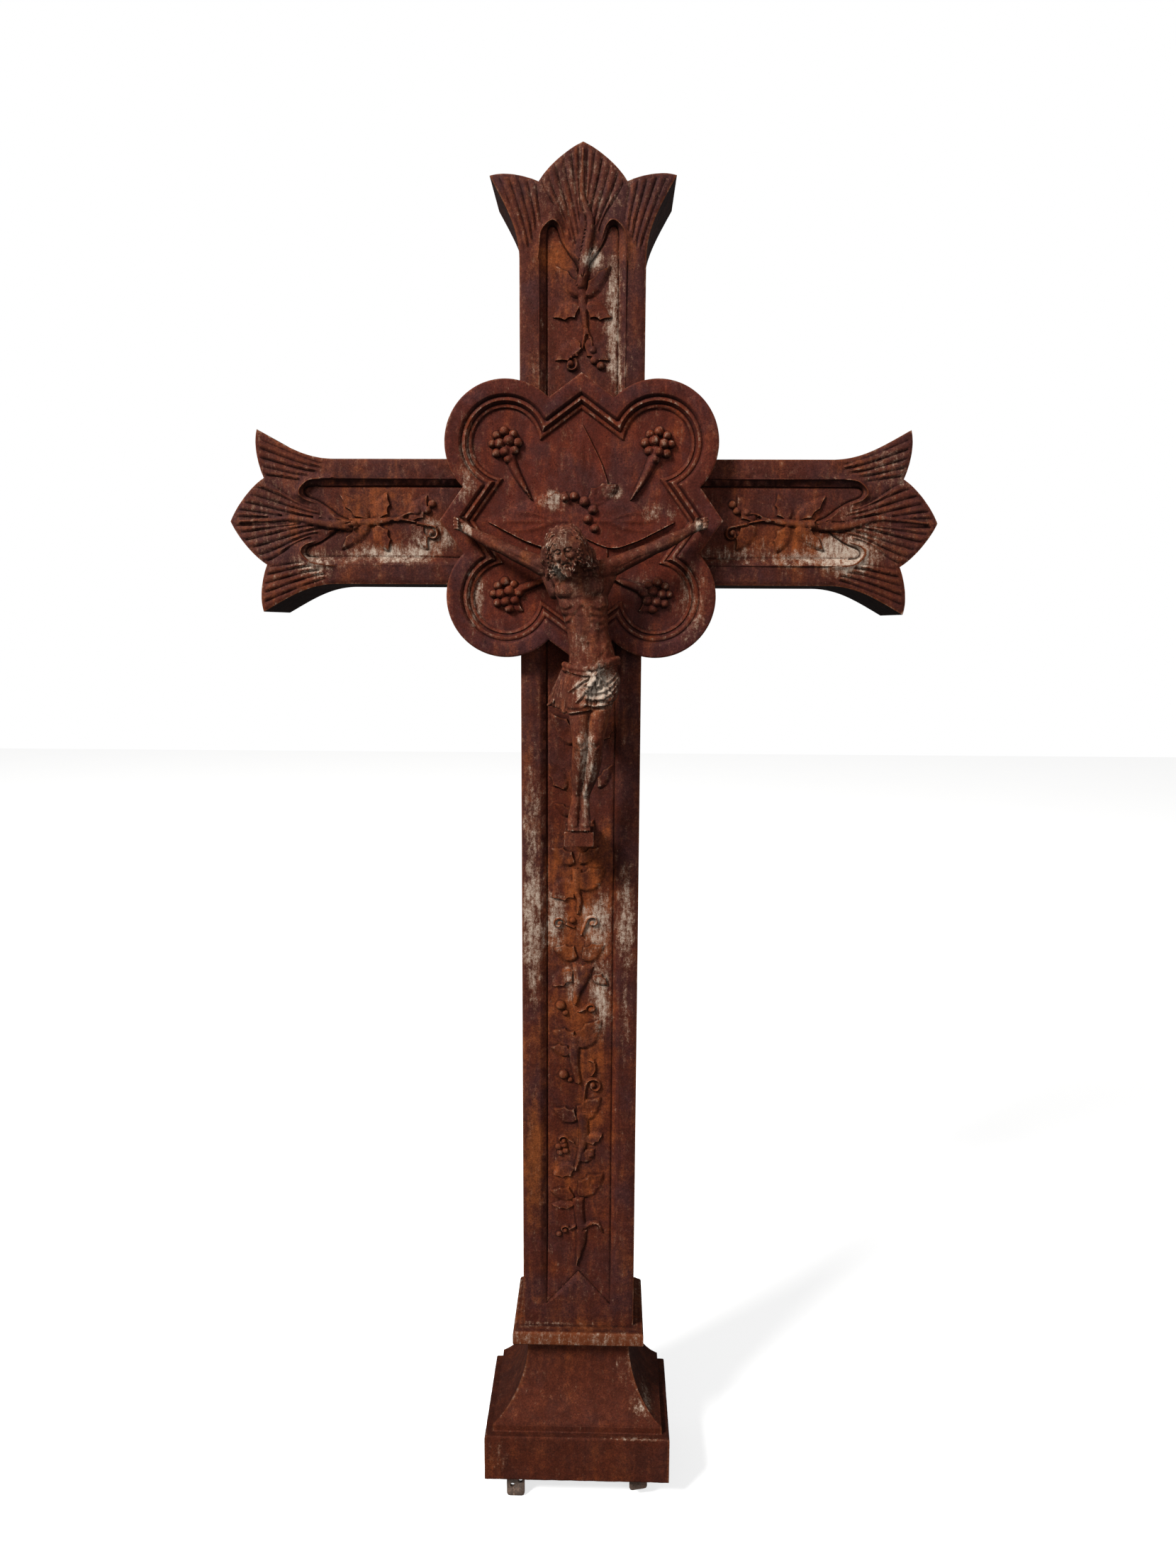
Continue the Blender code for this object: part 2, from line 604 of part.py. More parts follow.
def plinth_sections(inset=0.0):
    """Height, half width and front of the plinth's outside, or of the hollow in it."""
    ledge_top = BLOCK_HEIGHT + LEDGE_HEIGHT
    neck_height = PLINTH_TOP - COLLAR_HEIGHT
    rows = [(0.0, BLOCK_WIDTH / 2), (BLOCK_HEIGHT, BLOCK_WIDTH / 2), (BLOCK_HEIGHT, LEDGE_HALF), (ledge_top, LEDGE_HALF)]
    bend = 0.97
    for step in range(8):
        share = step / 7
        curve = (1 - math.sqrt(1 - (bend * (1 - share)) ** 2)) / (1 - math.sqrt(1 - bend ** 2))
        rows.append((ledge_top + (neck_height - ledge_top) * share, NECK_HALF + (LEDGE_HALF - 0.0015 - NECK_HALF) * curve))
    if inset:
        rows = [(-0.02, rows[0][1]), (BLOCK_HEIGHT - inset, rows[1][1])] + [
            (height - inset, half) for height, half in rows[4:]]
    else:
        rows += [(neck_height + 0.0005, COLLAR_HALF), (PLINTH_TOP, COLLAR_HALF)]
    return [(height, half - inset, FACE_Y - (half - HALF_SHAFT) + inset) for height, half in rows]


def make_plinth(iron):
    plinth = add_object("plinth", stack(plinth_sections(), BACK_Y), parts, iron)
    hollow = cutter("plinth_hollow", stack(plinth_sections(PLINTH_WALL), BACK_Y + 0.02))
    boolean(plinth, hollow, "DIFFERENCE")
    corner = LEDGE_HALF - 0.020
    chips = [(-corner - 0.020, 0.104, 0.012), (-corner - 0.002, 0.128, 0.010), (-corner + 0.010, 0.143, 0.008)]
    for number, (x, height, size) in enumerate(chips):
        outline = [(x - size, height + size * 0.2), (x + size * 0.3, height - size), (x + size, height + size * 0.5),
                   (x, height + size * 1.3)]
        mesh = prism(outline, BACK_Y - size * 0.9, BACK_Y + 0.02)
        boolean(plinth, cutter(f"chip_{number}", mesh), "DIFFERENCE")
    return plinth


def make_strap(name, middle, down, slant, holes, iron):
    """A flat strap behind the plinth's front wall, reaching below it."""
    front = -BLOCK_OUT + FACE_Y + PLINTH_WALL + JOINT_GAP
    half, round_off = STRAP_WIDTH / 2, STRAP_WIDTH * 0.16
    outline = [(-half, STRAP_UP), (-half, -down + round_off), (-half + round_off, -down), (half - round_off, -down + slant),
               (half, -down + slant + round_off), (half, STRAP_UP)]
    outline = [(x + middle, z) for x, z in outline]
    strap = add_object(name, prism(outline, front, front + STRAP_THICKNESS), parts, iron)
    for number, (x, z) in enumerate(holes):
        turns = np.linspace(0, 2 * math.pi, 13)[:-1]
        ring = [(middle + x + STRAP_HOLE / 2 * math.cos(t), z + STRAP_HOLE / 2 * math.sin(t)) for t in turns]
        hole = cutter(f"{name}_hole_{number}", prism(ring, front - 0.01, front + STRAP_THICKNESS + 0.01))
        boolean(strap, hole, "DIFFERENCE")
    return strap


def ball(mesh, centre, radii, turn=None):
    """An ellipsoid; centres are given in front of the cross face."""
    made = bmesh.ops.create_uvsphere(mesh, u_segments=16, v_segments=10, radius=1.0)["verts"]
    matrix = Matrix.Translation(Vector(centre)) @ (turn or Matrix.Identity(4)) @ Matrix.Diagonal((*radii, 1.0))
    bmesh.ops.transform(mesh, verts=made, matrix=matrix)
    return made


def limb(mesh, stations):
    """A chain of tapering links through a list of place and radius."""
    for (a, ra), (b, rb) in zip(stations[:-1], stations[1:]):
        link = bmesh.new()
        ball(link, a, (ra, ra, ra))
        ball(link, b, (rb, rb, rb))
        hull = bmesh.ops.convex_hull(link, input=link.verts)
        bmesh.ops.delete(link, geom=hull["geom_interior"], context="VERTS")
        piece = finish(link)
        mesh.from_mesh(piece)
        bpy.data.meshes.remove(piece)


def figure_mesh():
    """The figure as overlapping forms, drawn for a shaft of 140 mm with the cross face at zero depth."""
    shin_end, heel, instep = (FOOT_BLOCK_TOP / FIGURE_SCALE + rise for rise in (0.0406, 0.0346, 0.0206))
    mesh = bmesh.new()
    ball(mesh, (0.0130, -0.049, 1.022), (0.0270, 0.0200, 0.0230))
    ball(mesh, (0.0080, -0.049, 1.056), (0.0230, 0.0170, 0.0290))
    ball(mesh, (0.0005, -0.051, 1.099), (0.0305, 0.0205, 0.0310))
    ball(mesh, (-0.0040, -0.049, 1.122), (0.0330, 0.0165, 0.0135))
    limb(mesh, [((-0.031, -0.046, 1.127), 0.0130), ((-0.058, -0.045, 1.141), 0.0108), ((-0.082, -0.043, 1.1515), 0.0088),
                ((-0.100, -0.040, 1.1605), 0.0088), ((-0.121, -0.036, 1.1705), 0.0062), ((-0.129, -0.0335, 1.1755), 0.0085)])
    limb(mesh, [((0.0265, -0.046, 1.131), 0.0130), ((0.055, -0.045, 1.142), 0.0108), ((0.082, -0.043, 1.1525), 0.0088),
                ((0.101, -0.040, 1.1610), 0.0088), ((0.121, -0.036, 1.1710), 0.0062), ((0.130, -0.0335, 1.1770), 0.0085)])
    for side, height in ((-1, 1.1785), (1, 1.1795)):
        ball(mesh, (HAND_REACH / FIGURE_SCALE * side, -0.0312, height), (0.0100, 0.0086, 0.0085))
    limb(mesh, [((-0.004, -0.053, 1.130), 0.0105), ((-0.010, -0.066, 1.142), 0.0100)])
    lean = Matrix.Rotation(math.radians(-9), 4, "Y") @ Matrix.Rotation(math.radians(18), 4, "X")
    ball(mesh, (-0.0140, -0.0760, 1.1495), (0.0160, 0.0185, 0.0215), lean)
    ball(mesh, (-0.0180, -0.0700, 1.1500), (0.0225, 0.0180, 0.0210), lean)
    ball(mesh, (-0.0110, -0.0905, 1.1330), (0.0090, 0.0070, 0.0100), lean)
    limb(mesh, [((-0.0350, -0.071, 1.1520), 0.0085), ((-0.0360, -0.067, 1.1370), 0.0080), ((-0.0300, -0.064, 1.1240), 0.0050)])
    limb(mesh, [((0.0030, -0.071, 1.1520), 0.0085), ((0.0070, -0.064, 1.1400), 0.0085), ((0.0130, -0.060, 1.1300), 0.0050)])
    ball(mesh, (0.0140, -0.049, 1.008), (0.0320, 0.0230, 0.0215))
    ball(mesh, (0.0030, -0.055, 0.998), (0.0200, 0.0215, 0.0260))
    ball(mesh, (0.0270, -0.054, 1.000), (0.0190, 0.0205, 0.0220))
    ball(mesh, (0.0180, -0.074, 1.024), (0.0085, 0.0065, 0.0060))
    limb(mesh, [((-0.0140, -0.052, 1.026), 0.0090), ((-0.0190, -0.050, 1.005), 0.0085), ((-0.0230, -0.048, 0.983), 0.0085)])
    limb(mesh, [((0.0010, -0.051, 1.005), 0.0170), ((0.0005, -0.060, 0.968), 0.0145), ((0.0015, -0.064, 0.939), 0.0115)])
    limb(mesh, [((0.0270, -0.050, 1.005), 0.0175), ((0.0220, -0.060, 0.968), 0.0150), ((0.0175, -0.064, 0.938), 0.0120)])
    limb(mesh, [((0.0010, -0.062, 0.937), 0.0105), ((-0.0005, -0.050, 0.912), 0.0110), ((-0.0030, -0.044, shin_end), 0.0072)])
    limb(mesh, [((0.0175, -0.062, 0.937), 0.0110), ((0.0135, -0.050, 0.910), 0.0118), ((0.0060, -0.045, shin_end), 0.0072)])
    for side in (-1, 1):
        toe = ((0.0090 * side, -0.0540, FOOT_BLOCK_TOP / FIGURE_SCALE + 0.0050), 0.0052)
        limb(mesh, [((0.0040 * side + 0.001, -0.044, heel), 0.0078), ((0.0070 * side, -0.047, instep), 0.0078), toe])
    bmesh.ops.scale(mesh, verts=mesh.verts, vec=(FIGURE_SCALE, FIGURE_SCALE, FIGURE_SCALE))
    block = box((-FOOT_BLOCK_HALF, -FOOT_BLOCK_FRONT, FOOT_BLOCK_TOP - FOOT_BLOCK_HEIGHT),
                (FOOT_BLOCK_HALF, -0.002, FOOT_BLOCK_TOP))
    mesh.from_mesh(block)
    bmesh.ops.translate(mesh, verts=mesh.verts, vec=(0, FACE_Y, 0))
    return finish(mesh)


def make_corpus(iron):
    corpus = add_object("corpus", figure_mesh(), parts, iron)
    blend = corpus.modifiers.new("blend", "REMESH")
    blend.mode = "VOXEL"
    blend.voxel_size = FIGURE_VOXEL
    soften = corpus.modifiers.new("soften", "SMOOTH")
    soften.factor = 0.5
    soften.iterations = 8
    thin = corpus.modifiers.new("thin", "DECIMATE")
    thin.ratio = 0.10
    limit = cutter("corpus_limit", box((-ARM_REACH, FACE_Y - MEDALLION_FRONT - JOINT_GAP, FOOT_BLOCK_TOP + 4 * FOOT_BLOCK_HEIGHT),
                                       (ARM_REACH, BACK_Y, CENTRE_HEIGHT + APEX_REACH)))
    boolean(corpus, limit, "DIFFERENCE")
    seat = cutter("foot_block", box((-FOOT_BLOCK_HALF, FACE_Y - FOOT_BLOCK_FRONT, FOOT_BLOCK_TOP - FOOT_BLOCK_HEIGHT),
                                    (FOOT_BLOCK_HALF, FACE_Y - JOINT_GAP, FOOT_BLOCK_TOP)))
    boolean(corpus, seat, "UNION")
    return corpus


clear_scene()
parts = collection("grave_cross")
cutters = collection("cutters")
rust = material("rusted_cast_iron", (0.115, 0.036, 0.022), 0.82)
dark_rust = material("medallion_iron", (0.120, 0.034, 0.024), 0.80)
pale_rust = material("corpus_iron", (0.140, 0.052, 0.034), 0.78)
base_rust = material("plinth_iron", (0.125, 0.040, 0.020), 0.85)
strap_iron = material("strap_iron", (0.200, 0.170, 0.150), 0.60, 0.6)
make_cross(rust)
make_medallion(dark_rust)
make_corpus(pale_rust)
make_plinth(base_rust)
make_strap("lug_left", -STRAP_OFFSET, STRAP_LEFT_DOWN, 0.0, [(-0.004, -0.016), (0.006, -0.010)], strap_iron)
make_strap("lug_right", STRAP_OFFSET, STRAP_RIGHT_DOWN, 0.003, [], strap_iron)
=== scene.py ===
"""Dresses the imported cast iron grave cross: carved faces, corpus, rust, residue, light, camera."""
import math

import bmesh
import bpy
import numpy as np
from mathutils import Matrix, Vector, geometry, noise


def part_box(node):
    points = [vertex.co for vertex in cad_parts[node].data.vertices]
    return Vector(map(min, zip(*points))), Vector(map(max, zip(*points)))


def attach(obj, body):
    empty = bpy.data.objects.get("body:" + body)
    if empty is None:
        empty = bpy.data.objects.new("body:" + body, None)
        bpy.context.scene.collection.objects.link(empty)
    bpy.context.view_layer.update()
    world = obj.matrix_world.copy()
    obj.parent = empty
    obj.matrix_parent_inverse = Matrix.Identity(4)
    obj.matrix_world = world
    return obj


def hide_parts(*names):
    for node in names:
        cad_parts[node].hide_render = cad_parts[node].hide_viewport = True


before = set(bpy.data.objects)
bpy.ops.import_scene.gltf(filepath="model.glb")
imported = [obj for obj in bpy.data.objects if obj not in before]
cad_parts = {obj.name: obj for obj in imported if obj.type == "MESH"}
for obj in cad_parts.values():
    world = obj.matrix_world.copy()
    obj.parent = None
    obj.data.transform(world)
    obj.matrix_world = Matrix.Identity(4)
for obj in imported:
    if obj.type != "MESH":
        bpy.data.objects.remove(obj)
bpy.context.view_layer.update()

# Cross
SHAFT_WIDTH = 0.14
CROSS_DEPTH = 0.1045
CROSS_WALL = 0.009
CENTRE_HEIGHT = 1.1843
ARM_REACH = 0.4037
SHAFT_FOOT = 0.1828
FLARE_START = 0.282
EAR_REACH, EAR_SPREAD = 0.3693, 0.1023
NOTCH_REACH, NOTCH_SPREAD = 0.3634, 0.0486
EDGE_CHAMFER, EDGE_DROP = 0.006, 0.002
PANEL_HALF, PANEL_DEPTH = 0.04, 0.006
BEVEL_WIDTH, BEVEL_DEPTH = 0.008, 0.005
PANEL_START = 0.105
GABLE_TOP, GABLE_FOOT = 0.2564, 0.213

# Slab and plinth
SLAB_OVERHANG, SLAB_HEIGHT, SLAB_NOSE = 0.0129, 0.0205, 0.0035
BLOCK_WIDTH, BLOCK_HEIGHT = 0.2324, 0.0604
LEDGE_HALF, LEDGE_HEIGHT = 0.1065, 0.0098
NECK_HALF = 0.0648
COLLAR_HALF, COLLAR_HEIGHT = 0.072, 0.006
PLINTH_WALL = 0.01
JOINT_GAP = 0.0003

# Medallion
LOBE_REACH, LOBE_RADIUS = 0.0845, 0.068
APEX_REACH = 0.159
APEX_SLOPE = math.radians(36.0)
MEDALLION_FRONT = 0.022
RIM_STEPS = [(0.0, -0.0012), (0.0012, -0.0003), (0.0025, 0.0), (0.015, 0.0), (0.0162, -0.0006),
             (0.0185, -0.0042), (0.02, -0.003), (0.0225, -0.0032), (0.024, -0.0052), (0.0258, -0.008),
             (0.027, -0.007), (0.0292, -0.0074), (0.031, -0.01)]
GRAPE_RADIUS = 0.0058

# Corpus and straps
FOOT_BLOCK_HALF, FOOT_BLOCK_TOP, FOOT_BLOCK_HEIGHT, FOOT_BLOCK_FRONT = 0.017, 0.8354, 0.0164, 0.055
STRAP_WIDTH, STRAP_THICKNESS, STRAP_OFFSET, STRAP_UP = 0.0225, 0.005, 0.078, 0.045
STRAP_LEFT_DOWN, STRAP_RIGHT_DOWN, STRAP_HOLE = 0.031, 0.02, 0.006

HALF_SHAFT = SHAFT_WIDTH / 2
BLOCK_OUT = BLOCK_WIDTH / 2 - HALF_SHAFT
FACE_Y = BLOCK_OUT - PLINTH_WALL / 2
BACK_Y = FACE_Y + CROSS_DEPTH
SLAB_BOTTOM = SHAFT_FOOT - SLAB_HEIGHT
PLINTH_TOP = SLAB_BOTTOM - JOINT_GAP

# Spacing of the carved surface's points, from the finest relief to the plain face
FINE = 0.0015
MEDIUM = 0.004
COARSE = 0.007
WALL_ROW = 0.003
PLINTH_EDGE = 0.0056

# Distances that count as nothing
ON_LINE = 1e-5
SMALL = 1e-9

# Carving: where the palmettes begin along an arm, the vine's height, a leaf's sharp edge
FAN_START = 0.284
VINE = 0.004
LEAF_EDGE = 0.001

# The slightly winding midribs of the three finials, along and across
RIBS = ([(0.262, -0.002), (0.29, -0.0045), (0.312, -0.001), (0.334, 0.005), (0.356, 0.004), (0.392, 0.0)],
        [(0.258, 0.001), (0.288, -0.003), (0.311, -0.0075), (0.324, -0.008), (0.338, -0.003),
         (0.352, 0.001), (0.395, 0.0)],
        [(0.262, 0.004), (0.286, 0.0035), (0.308, 0.0), (0.33, -0.0035), (0.352, -0.002), (0.392, 0.0)])

# Camera, as the photograph was taken
EYE = (0.0348, -1.2039, 1.0688)
EYE_TILT, EYE_ROLL, EYE_TURN = 0.1482, 0.0051, -0.0216
LENS = 24.47


def deselect():
    bpy.ops.object.select_all(action="DESELECT")


def only(piece):
    deselect()
    piece.select_set(True)
    bpy.context.view_layer.objects.active = piece


def new_piece(name, mesh):
    piece = bpy.data.objects.new(name, mesh)
    bpy.context.scene.collection.objects.link(piece)
    return piece


def apply_all(piece):
    only(piece)
    for step in list(piece.modifiers):
        bpy.ops.object.modifier_apply(modifier=step.name)


def cut_or_join(piece, tool, operation):
    step = piece.modifiers.new(operation.lower(), "BOOLEAN")
    step.object = tool
    step.operation = operation
    step.solver = "EXACT"
    apply_all(piece)
    bpy.data.objects.remove(tool, do_unlink=True)


def finish_mesh(mesh):
    bmesh.ops.recalc_face_normals(mesh, faces=mesh.faces)
    made = bpy.data.meshes.new("mesh")
    mesh.to_mesh(made)
    mesh.free()
    return made


def positions(piece):
    found = np.empty(len(piece.data.vertices) * 3)
    piece.data.vertices.foreach_get("co", found)
    return found.reshape(-1, 3)


def move_to(piece, places):
    piece.data.vertices.foreach_set("co", np.asarray(places).ravel())
    piece.data.update()


def directions(piece):
    found = np.empty(len(piece.data.vertices) * 3)
    piece.data.vertex_normals.foreach_get("vector", found)
    return found.reshape(-1, 3)


def roughness_of(places, size, seed=0.0):
    """Smooth noise at each place, from about -1 to 1."""
    return np.array([noise.noise(Vector((x / size + seed, y / size, z / size))) for x, y, z in places])


def bezier(a, b, c, d, count):
    a, b, c, d = (np.array(p, float) for p in (a, b, c, d))
    t = np.linspace(0, 1, count + 1)[1:, None]
    return a * (1 - t) ** 3 + 3 * b * t * (1 - t) ** 2 + 3 * c * t ** 2 * (1 - t) + d * t ** 3


def smooth_line(corners, spacing=FINE):
    """A smooth curve through a few corners, with points at an even spacing."""
    corners = np.array(corners, float)
    padded = np.vstack([2 * corners[0] - corners[1], corners, 2 * corners[-1] - corners[-2]])
    points = [corners[:1]]
    for i in range(1, len(padded) - 2):
        a, b, c, d = padded[i - 1:i + 3]
        count = max(2, int(np.linalg.norm(c - b) / spacing))
        t = np.linspace(0, 1, count + 1)[1:, None]
        square, cube = 2 * a - 5 * b + 4 * c - d, 3 * b - a - 3 * c + d
        points.append(0.5 * (2 * b + (c - a) * t + square * t ** 2 + cube * t ** 3))
    return np.vstack(points)


def even(line, spacing=FINE):
    """The same line with points added along its straight runs."""
    found = [line[:1]]
    for a, b in zip(line[:-1], line[1:]):
        count = max(1, int(math.ceil(np.linalg.norm(b - a) / spacing)))
        found.append(a + (b - a) * np.linspace(0, 1, count + 1)[1:, None])
    return np.vstack(found)


def within(points, low, high):
    x, z = points[:, 0], points[:, 1]
    return np.flatnonzero((x >= low[0]) & (x <= high[0]) & (z >= low[1]) & (z <= high[1]))


def nearest(points, line, reach=0.02):
    """The distance to a line, up to a reach."""
    best = np.full(len(points), reach ** 2)
    for first in range(0, len(line) - 1, 10):
        run_of = line[first:first + 11]
        here = within(points, run_of.min(axis=0) - reach, run_of.max(axis=0) + reach)
        if not len(here):
            continue
        close, found = points[here], best[here]
        for a, b in zip(run_of[:-1], run_of[1:]):
            run = b - a
            away = close - a
            share = np.clip((away @ run) / max(run @ run, 1e-12), 0, 1)
            found = np.minimum(found, np.sum((away - share[:, None] * run) ** 2, axis=1))
        best[here] = found
    return np.sqrt(best)


def inside(points, loop):
    here = within(points, loop.min(axis=0), loop.max(axis=0))
    x, z = points[here, 0], points[here, 1]
    found = np.zeros(len(here), bool)
    for (ax, az), (bx, bz) in zip(loop, np.roll(loop, -1, axis=0)):
        if az != bz:
            found ^= ((az > z) != (bz > z)) & (x < (bx - ax) * (z - az) / (bz - az) + ax)
    result = np.zeros(len(points), bool)
    result[here] = found
    return result


def closed(loop):
    return np.vstack([loop, loop[:1]])


def spread(line, half_widths):
    run = np.gradient(line, axis=0)
    side = np.stack([-run[:, 1], run[:, 0]], axis=1) / np.linalg.norm(run, axis=1)[:, None]
    offset = side * np.asarray(half_widths)[:, None]
    return np.vstack([line + offset, (line - offset)[::-1]])


def beside(line, gap=0.0012):
    """Two lines that keep close to a line on either side, so that the edge between them stays crisp."""
    both = spread(line, np.full(len(line), gap))
    return [both[:len(line)], both[len(line):]]


class Motif:
    """A raised form on the ground of a panel; its rise is worked out only near it."""

    def rise(self, points):
        found = np.zeros(len(points))
        here = within(points, self.outline.min(axis=0), self.outline.max(axis=0))
        if len(here):
            found[here] = self.shape(points[here])
        return found


class Leaf(Motif):
    """A worn leaf: one side ends in a crisp edge, the other sinks softly into the ground."""

    def __init__(self, crisp_side, soft_side, veins, height, soft=0.0042):
        self.crisp_side, self.soft_side = np.array(crisp_side), np.array(soft_side)
        self.outline = np.vstack([self.crisp_side, self.soft_side[-2:0:-1]])
        self.veins = [np.array(v) for v in veins]
        self.height, self.soft = height, soft
        left, right = beside(self.crisp_side, LEAF_EDGE)
        middle = len(left) // 2
        left_is_in = inside(left[middle:middle + 1], self.outline)[0]
        self.top_line = left if left_is_in else right[::-1]

    def lines(self):
        return [closed(self.outline), self.top_line[2:-2]] + self.veins

    def shape(self, points):
        to_crisp, to_soft = nearest(points, self.crisp_side), nearest(points, self.soft_side)
        vein = np.min([nearest(points, v) for v in self.veins], axis=0)
        step = (np.clip(to_crisp / LEAF_EDGE, 0, 1) * np.clip(to_soft / self.soft, 0, 1)) ** 0.7
        ridge = 0.18 * np.clip(1 - vein / 0.0045, 0, 1) ** 1.3
        form = 0.48 + 0.34 * np.clip(1 - to_crisp / 0.012, 0, 1) + ridge
        return np.where(inside(points, self.outline), self.height * step * form, 0.0)


class Stalk(Motif):
    """A rounded stem that narrows to its ends."""

    def __init__(self, line, half_widths, height):
        self.line = np.array(line)
        widths = np.interp(np.linspace(0, 1, len(self.line)), np.linspace(0, 1, len(half_widths)),
                           half_widths)
        self.outline = spread(self.line, widths)
        self.height = height

    def lines(self):
        return [closed(self.outline), self.line]

    def shape(self, points):
        edge = nearest(points, closed(self.outline))
        middle = nearest(points, self.line)
        share = edge / (edge + middle + SMALL)
        return np.where(inside(points, self.outline),
                        self.height * np.sqrt(np.clip(1 - (1 - share) ** 2, 0, 1)), 0.0)


class Berry(Motif):
    """A round bead standing out of the ground."""

    def __init__(self, centre, radius, height, sides=16):
        self.centre, self.radius, self.height = np.array(centre, float), radius, height
        turn = np.linspace(0, 2 * math.pi, sides + 1)
        self.turn = np.stack([np.cos(turn), np.sin(turn)], axis=1)
        self.outline = (self.centre + radius * self.turn)[:-1]

    def lines(self):
        return [self.centre + self.radius * share * self.turn for share in (1.0, 0.9, 0.62, 0.3)]

    def shape(self, points):
        away = np.linalg.norm(points - self.centre, axis=1) / self.radius
        return self.height * np.sqrt(np.clip(1 - away ** 2, 0, 1))


class Place:
    """Turns sizes along and across a direction into points of the face."""

    def __init__(self, centre, direction):
        self.centre = np.array(centre, float)
        self.along = np.array(direction, float)
        self.across = np.array([-direction[1], direction[0]], float)

    def __call__(self, pairs):
        pairs = np.atleast_2d(np.array(pairs, float))
        return self.centre + pairs[:, :1] * self.along + pairs[:, 1:] * self.across

    def local(self, points):
        away = points - self.centre
        return np.stack([away @ self.along, away @ self.across], axis=1)


def lobed_leaf(base, tip, width, height, side=1, lobes=3):
    """A leaf with a toothed outer side and slanting veins, from its base to its tip."""
    base, tip = np.array(base, float), np.array(tip, float)
    run = tip - base
    length = np.linalg.norm(run)
    place = Place(base, run / length)
    share = np.linspace(0, 1, 25)
    body = np.sin(math.pi * share ** 0.75) ** 0.8
    teeth = 1.0 - 0.26 * np.abs(np.sin(lobes * math.pi * share))
    outer = np.stack([share * length, side * width * body * teeth * 0.62], axis=1)
    inner = np.stack([share * length, -side * width * body * 0.38], axis=1)
    middle = [(0.03 * length, 0), (0.5 * length, side * width * 0.05), (0.94 * length, 0)]
    veins = [place(smooth_line(middle))]
    for start in (0.14, 0.14 + 0.22, 0.14 + 0.22 * 2):
        end = min(start + 0.26, 0.93)
        for turn, reach in ((side, 0.44), (-side, 0.26)):
            out = turn * width * reach * math.sin(math.pi * end ** 0.75) ** 0.8
            vein = np.array([(start * length, 0.02 * turn * width), (end * length, out)])
            veins.append(place(even(vein, 0.002)))
    return Leaf(place(even(outer, 0.002)), place(even(inner, 0.002)), veins, height)


def tendril(points, thick, thin, height):
    line = smooth_line(points, 0.0016)
    return Stalk(line, [thick, thick, (thick + thin) / 2, thin], height)


def spiral(centre, radius, start, turns, side, root, thick=0.0026, height=0.0042):
    """A tendril that curls in on a bead; the root is where it leaves its stem."""
    share = np.linspace(0, 1, 40)
    angle = start + side * turns * 2 * math.pi * share
    reach = radius * (1 - 0.78 * share)
    line = np.array(centre) + np.stack([reach * np.cos(angle), reach * np.sin(angle)], axis=1)
    line = np.vstack([even(np.array([root, line[0]]))[:-1], line])
    widths = [thick, thick, thick * 0.8, thick * 0.6]
    return [Stalk(line, widths, height), Berry(line[-1], thick * 1.5, height * 1.15, 12)]


def arm_side():
    """One side of an arm from the start of its flare to its tip, as sizes along and across."""
    flare = bezier((FLARE_START, HALF_SHAFT), (0.315, HALF_SHAFT), (0.337, 0.084),
                   (EAR_REACH, EAR_SPREAD), 60)
    ear = bezier((EAR_REACH, EAR_SPREAD), (0.3745, 0.085), (0.369, 0.062), (NOTCH_REACH, NOTCH_SPREAD),
                 36)
    leaf = bezier((NOTCH_REACH, NOTCH_SPREAD), (0.3787, 0.0392), (0.3969, 0.0167), (ARM_REACH, 0.0), 42)
    return np.vstack([[(FLARE_START, HALF_SHAFT)], flare, ear, leaf])


def around_arms(side, half, foot):
    """The shaft and the three arms in one outline, from one side of an arm."""
    centre = np.array([0.0, CENTRE_HEIGHT])
    points = [[(half, foot)], [(half, CENTRE_HEIGHT - half)]]
    for direction, corner in (((1, 0), (half, half)), ((0, 1), (-half, half)), ((-1, 0), (-half, -half))):
        arm = Place(centre, direction)
        points += [arm(side * [1, -1]), arm(side[-2::-1]), [centre + corner]]
    return np.vstack(points + [[(-half, foot)]])


def cross_outline():
    return around_arms(arm_side(), HALF_SHAFT, SHAFT_FOOT - SLAB_HEIGHT / 2)


def hollow_outline(inset):
    half = HALF_SHAFT - inset
    side = np.array([(FLARE_START, half), (0.33, half + 0.004),
                     (EAR_REACH - 2.0 * inset, EAR_SPREAD - 2.2 * inset),
                     (NOTCH_REACH - inset, NOTCH_SPREAD - 0.6 * inset), (ARM_REACH - 1.2 * inset, 0.0)])
    return around_arms(side, half, SHAFT_FOOT)


def panel_lines():
    """The floor outline of an arm's sunk panel and the outline of its bevel, along and across."""
    arch = smooth_line([(0.306, 0.04), (0.315, 0.0388), (0.3188, 0.0345), (0.3155, 0.0288),
                        (0.302, 0.0235), (0.29, 0.016), (0.278, 0.007), (0.264, 0.0015)])
    hood = smooth_line([(0.296, 0.048), (0.312, 0.0455), (0.3225, 0.035), (0.3185, 0.0262),
                        (0.3045, 0.0205), (0.2925, 0.013), (0.2805, 0.004), (0.2665, 0.0)])
    floor = np.vstack([[(PANEL_START, PANEL_HALF)], arch])
    bevel = np.vstack([[(PANEL_START - 0.004, PANEL_HALF + BEVEL_WIDTH)], hood])
    return np.vstack([floor, floor[::-1] * [1, -1]]), np.vstack([bevel, bevel[-2::-1] * [1, -1]])


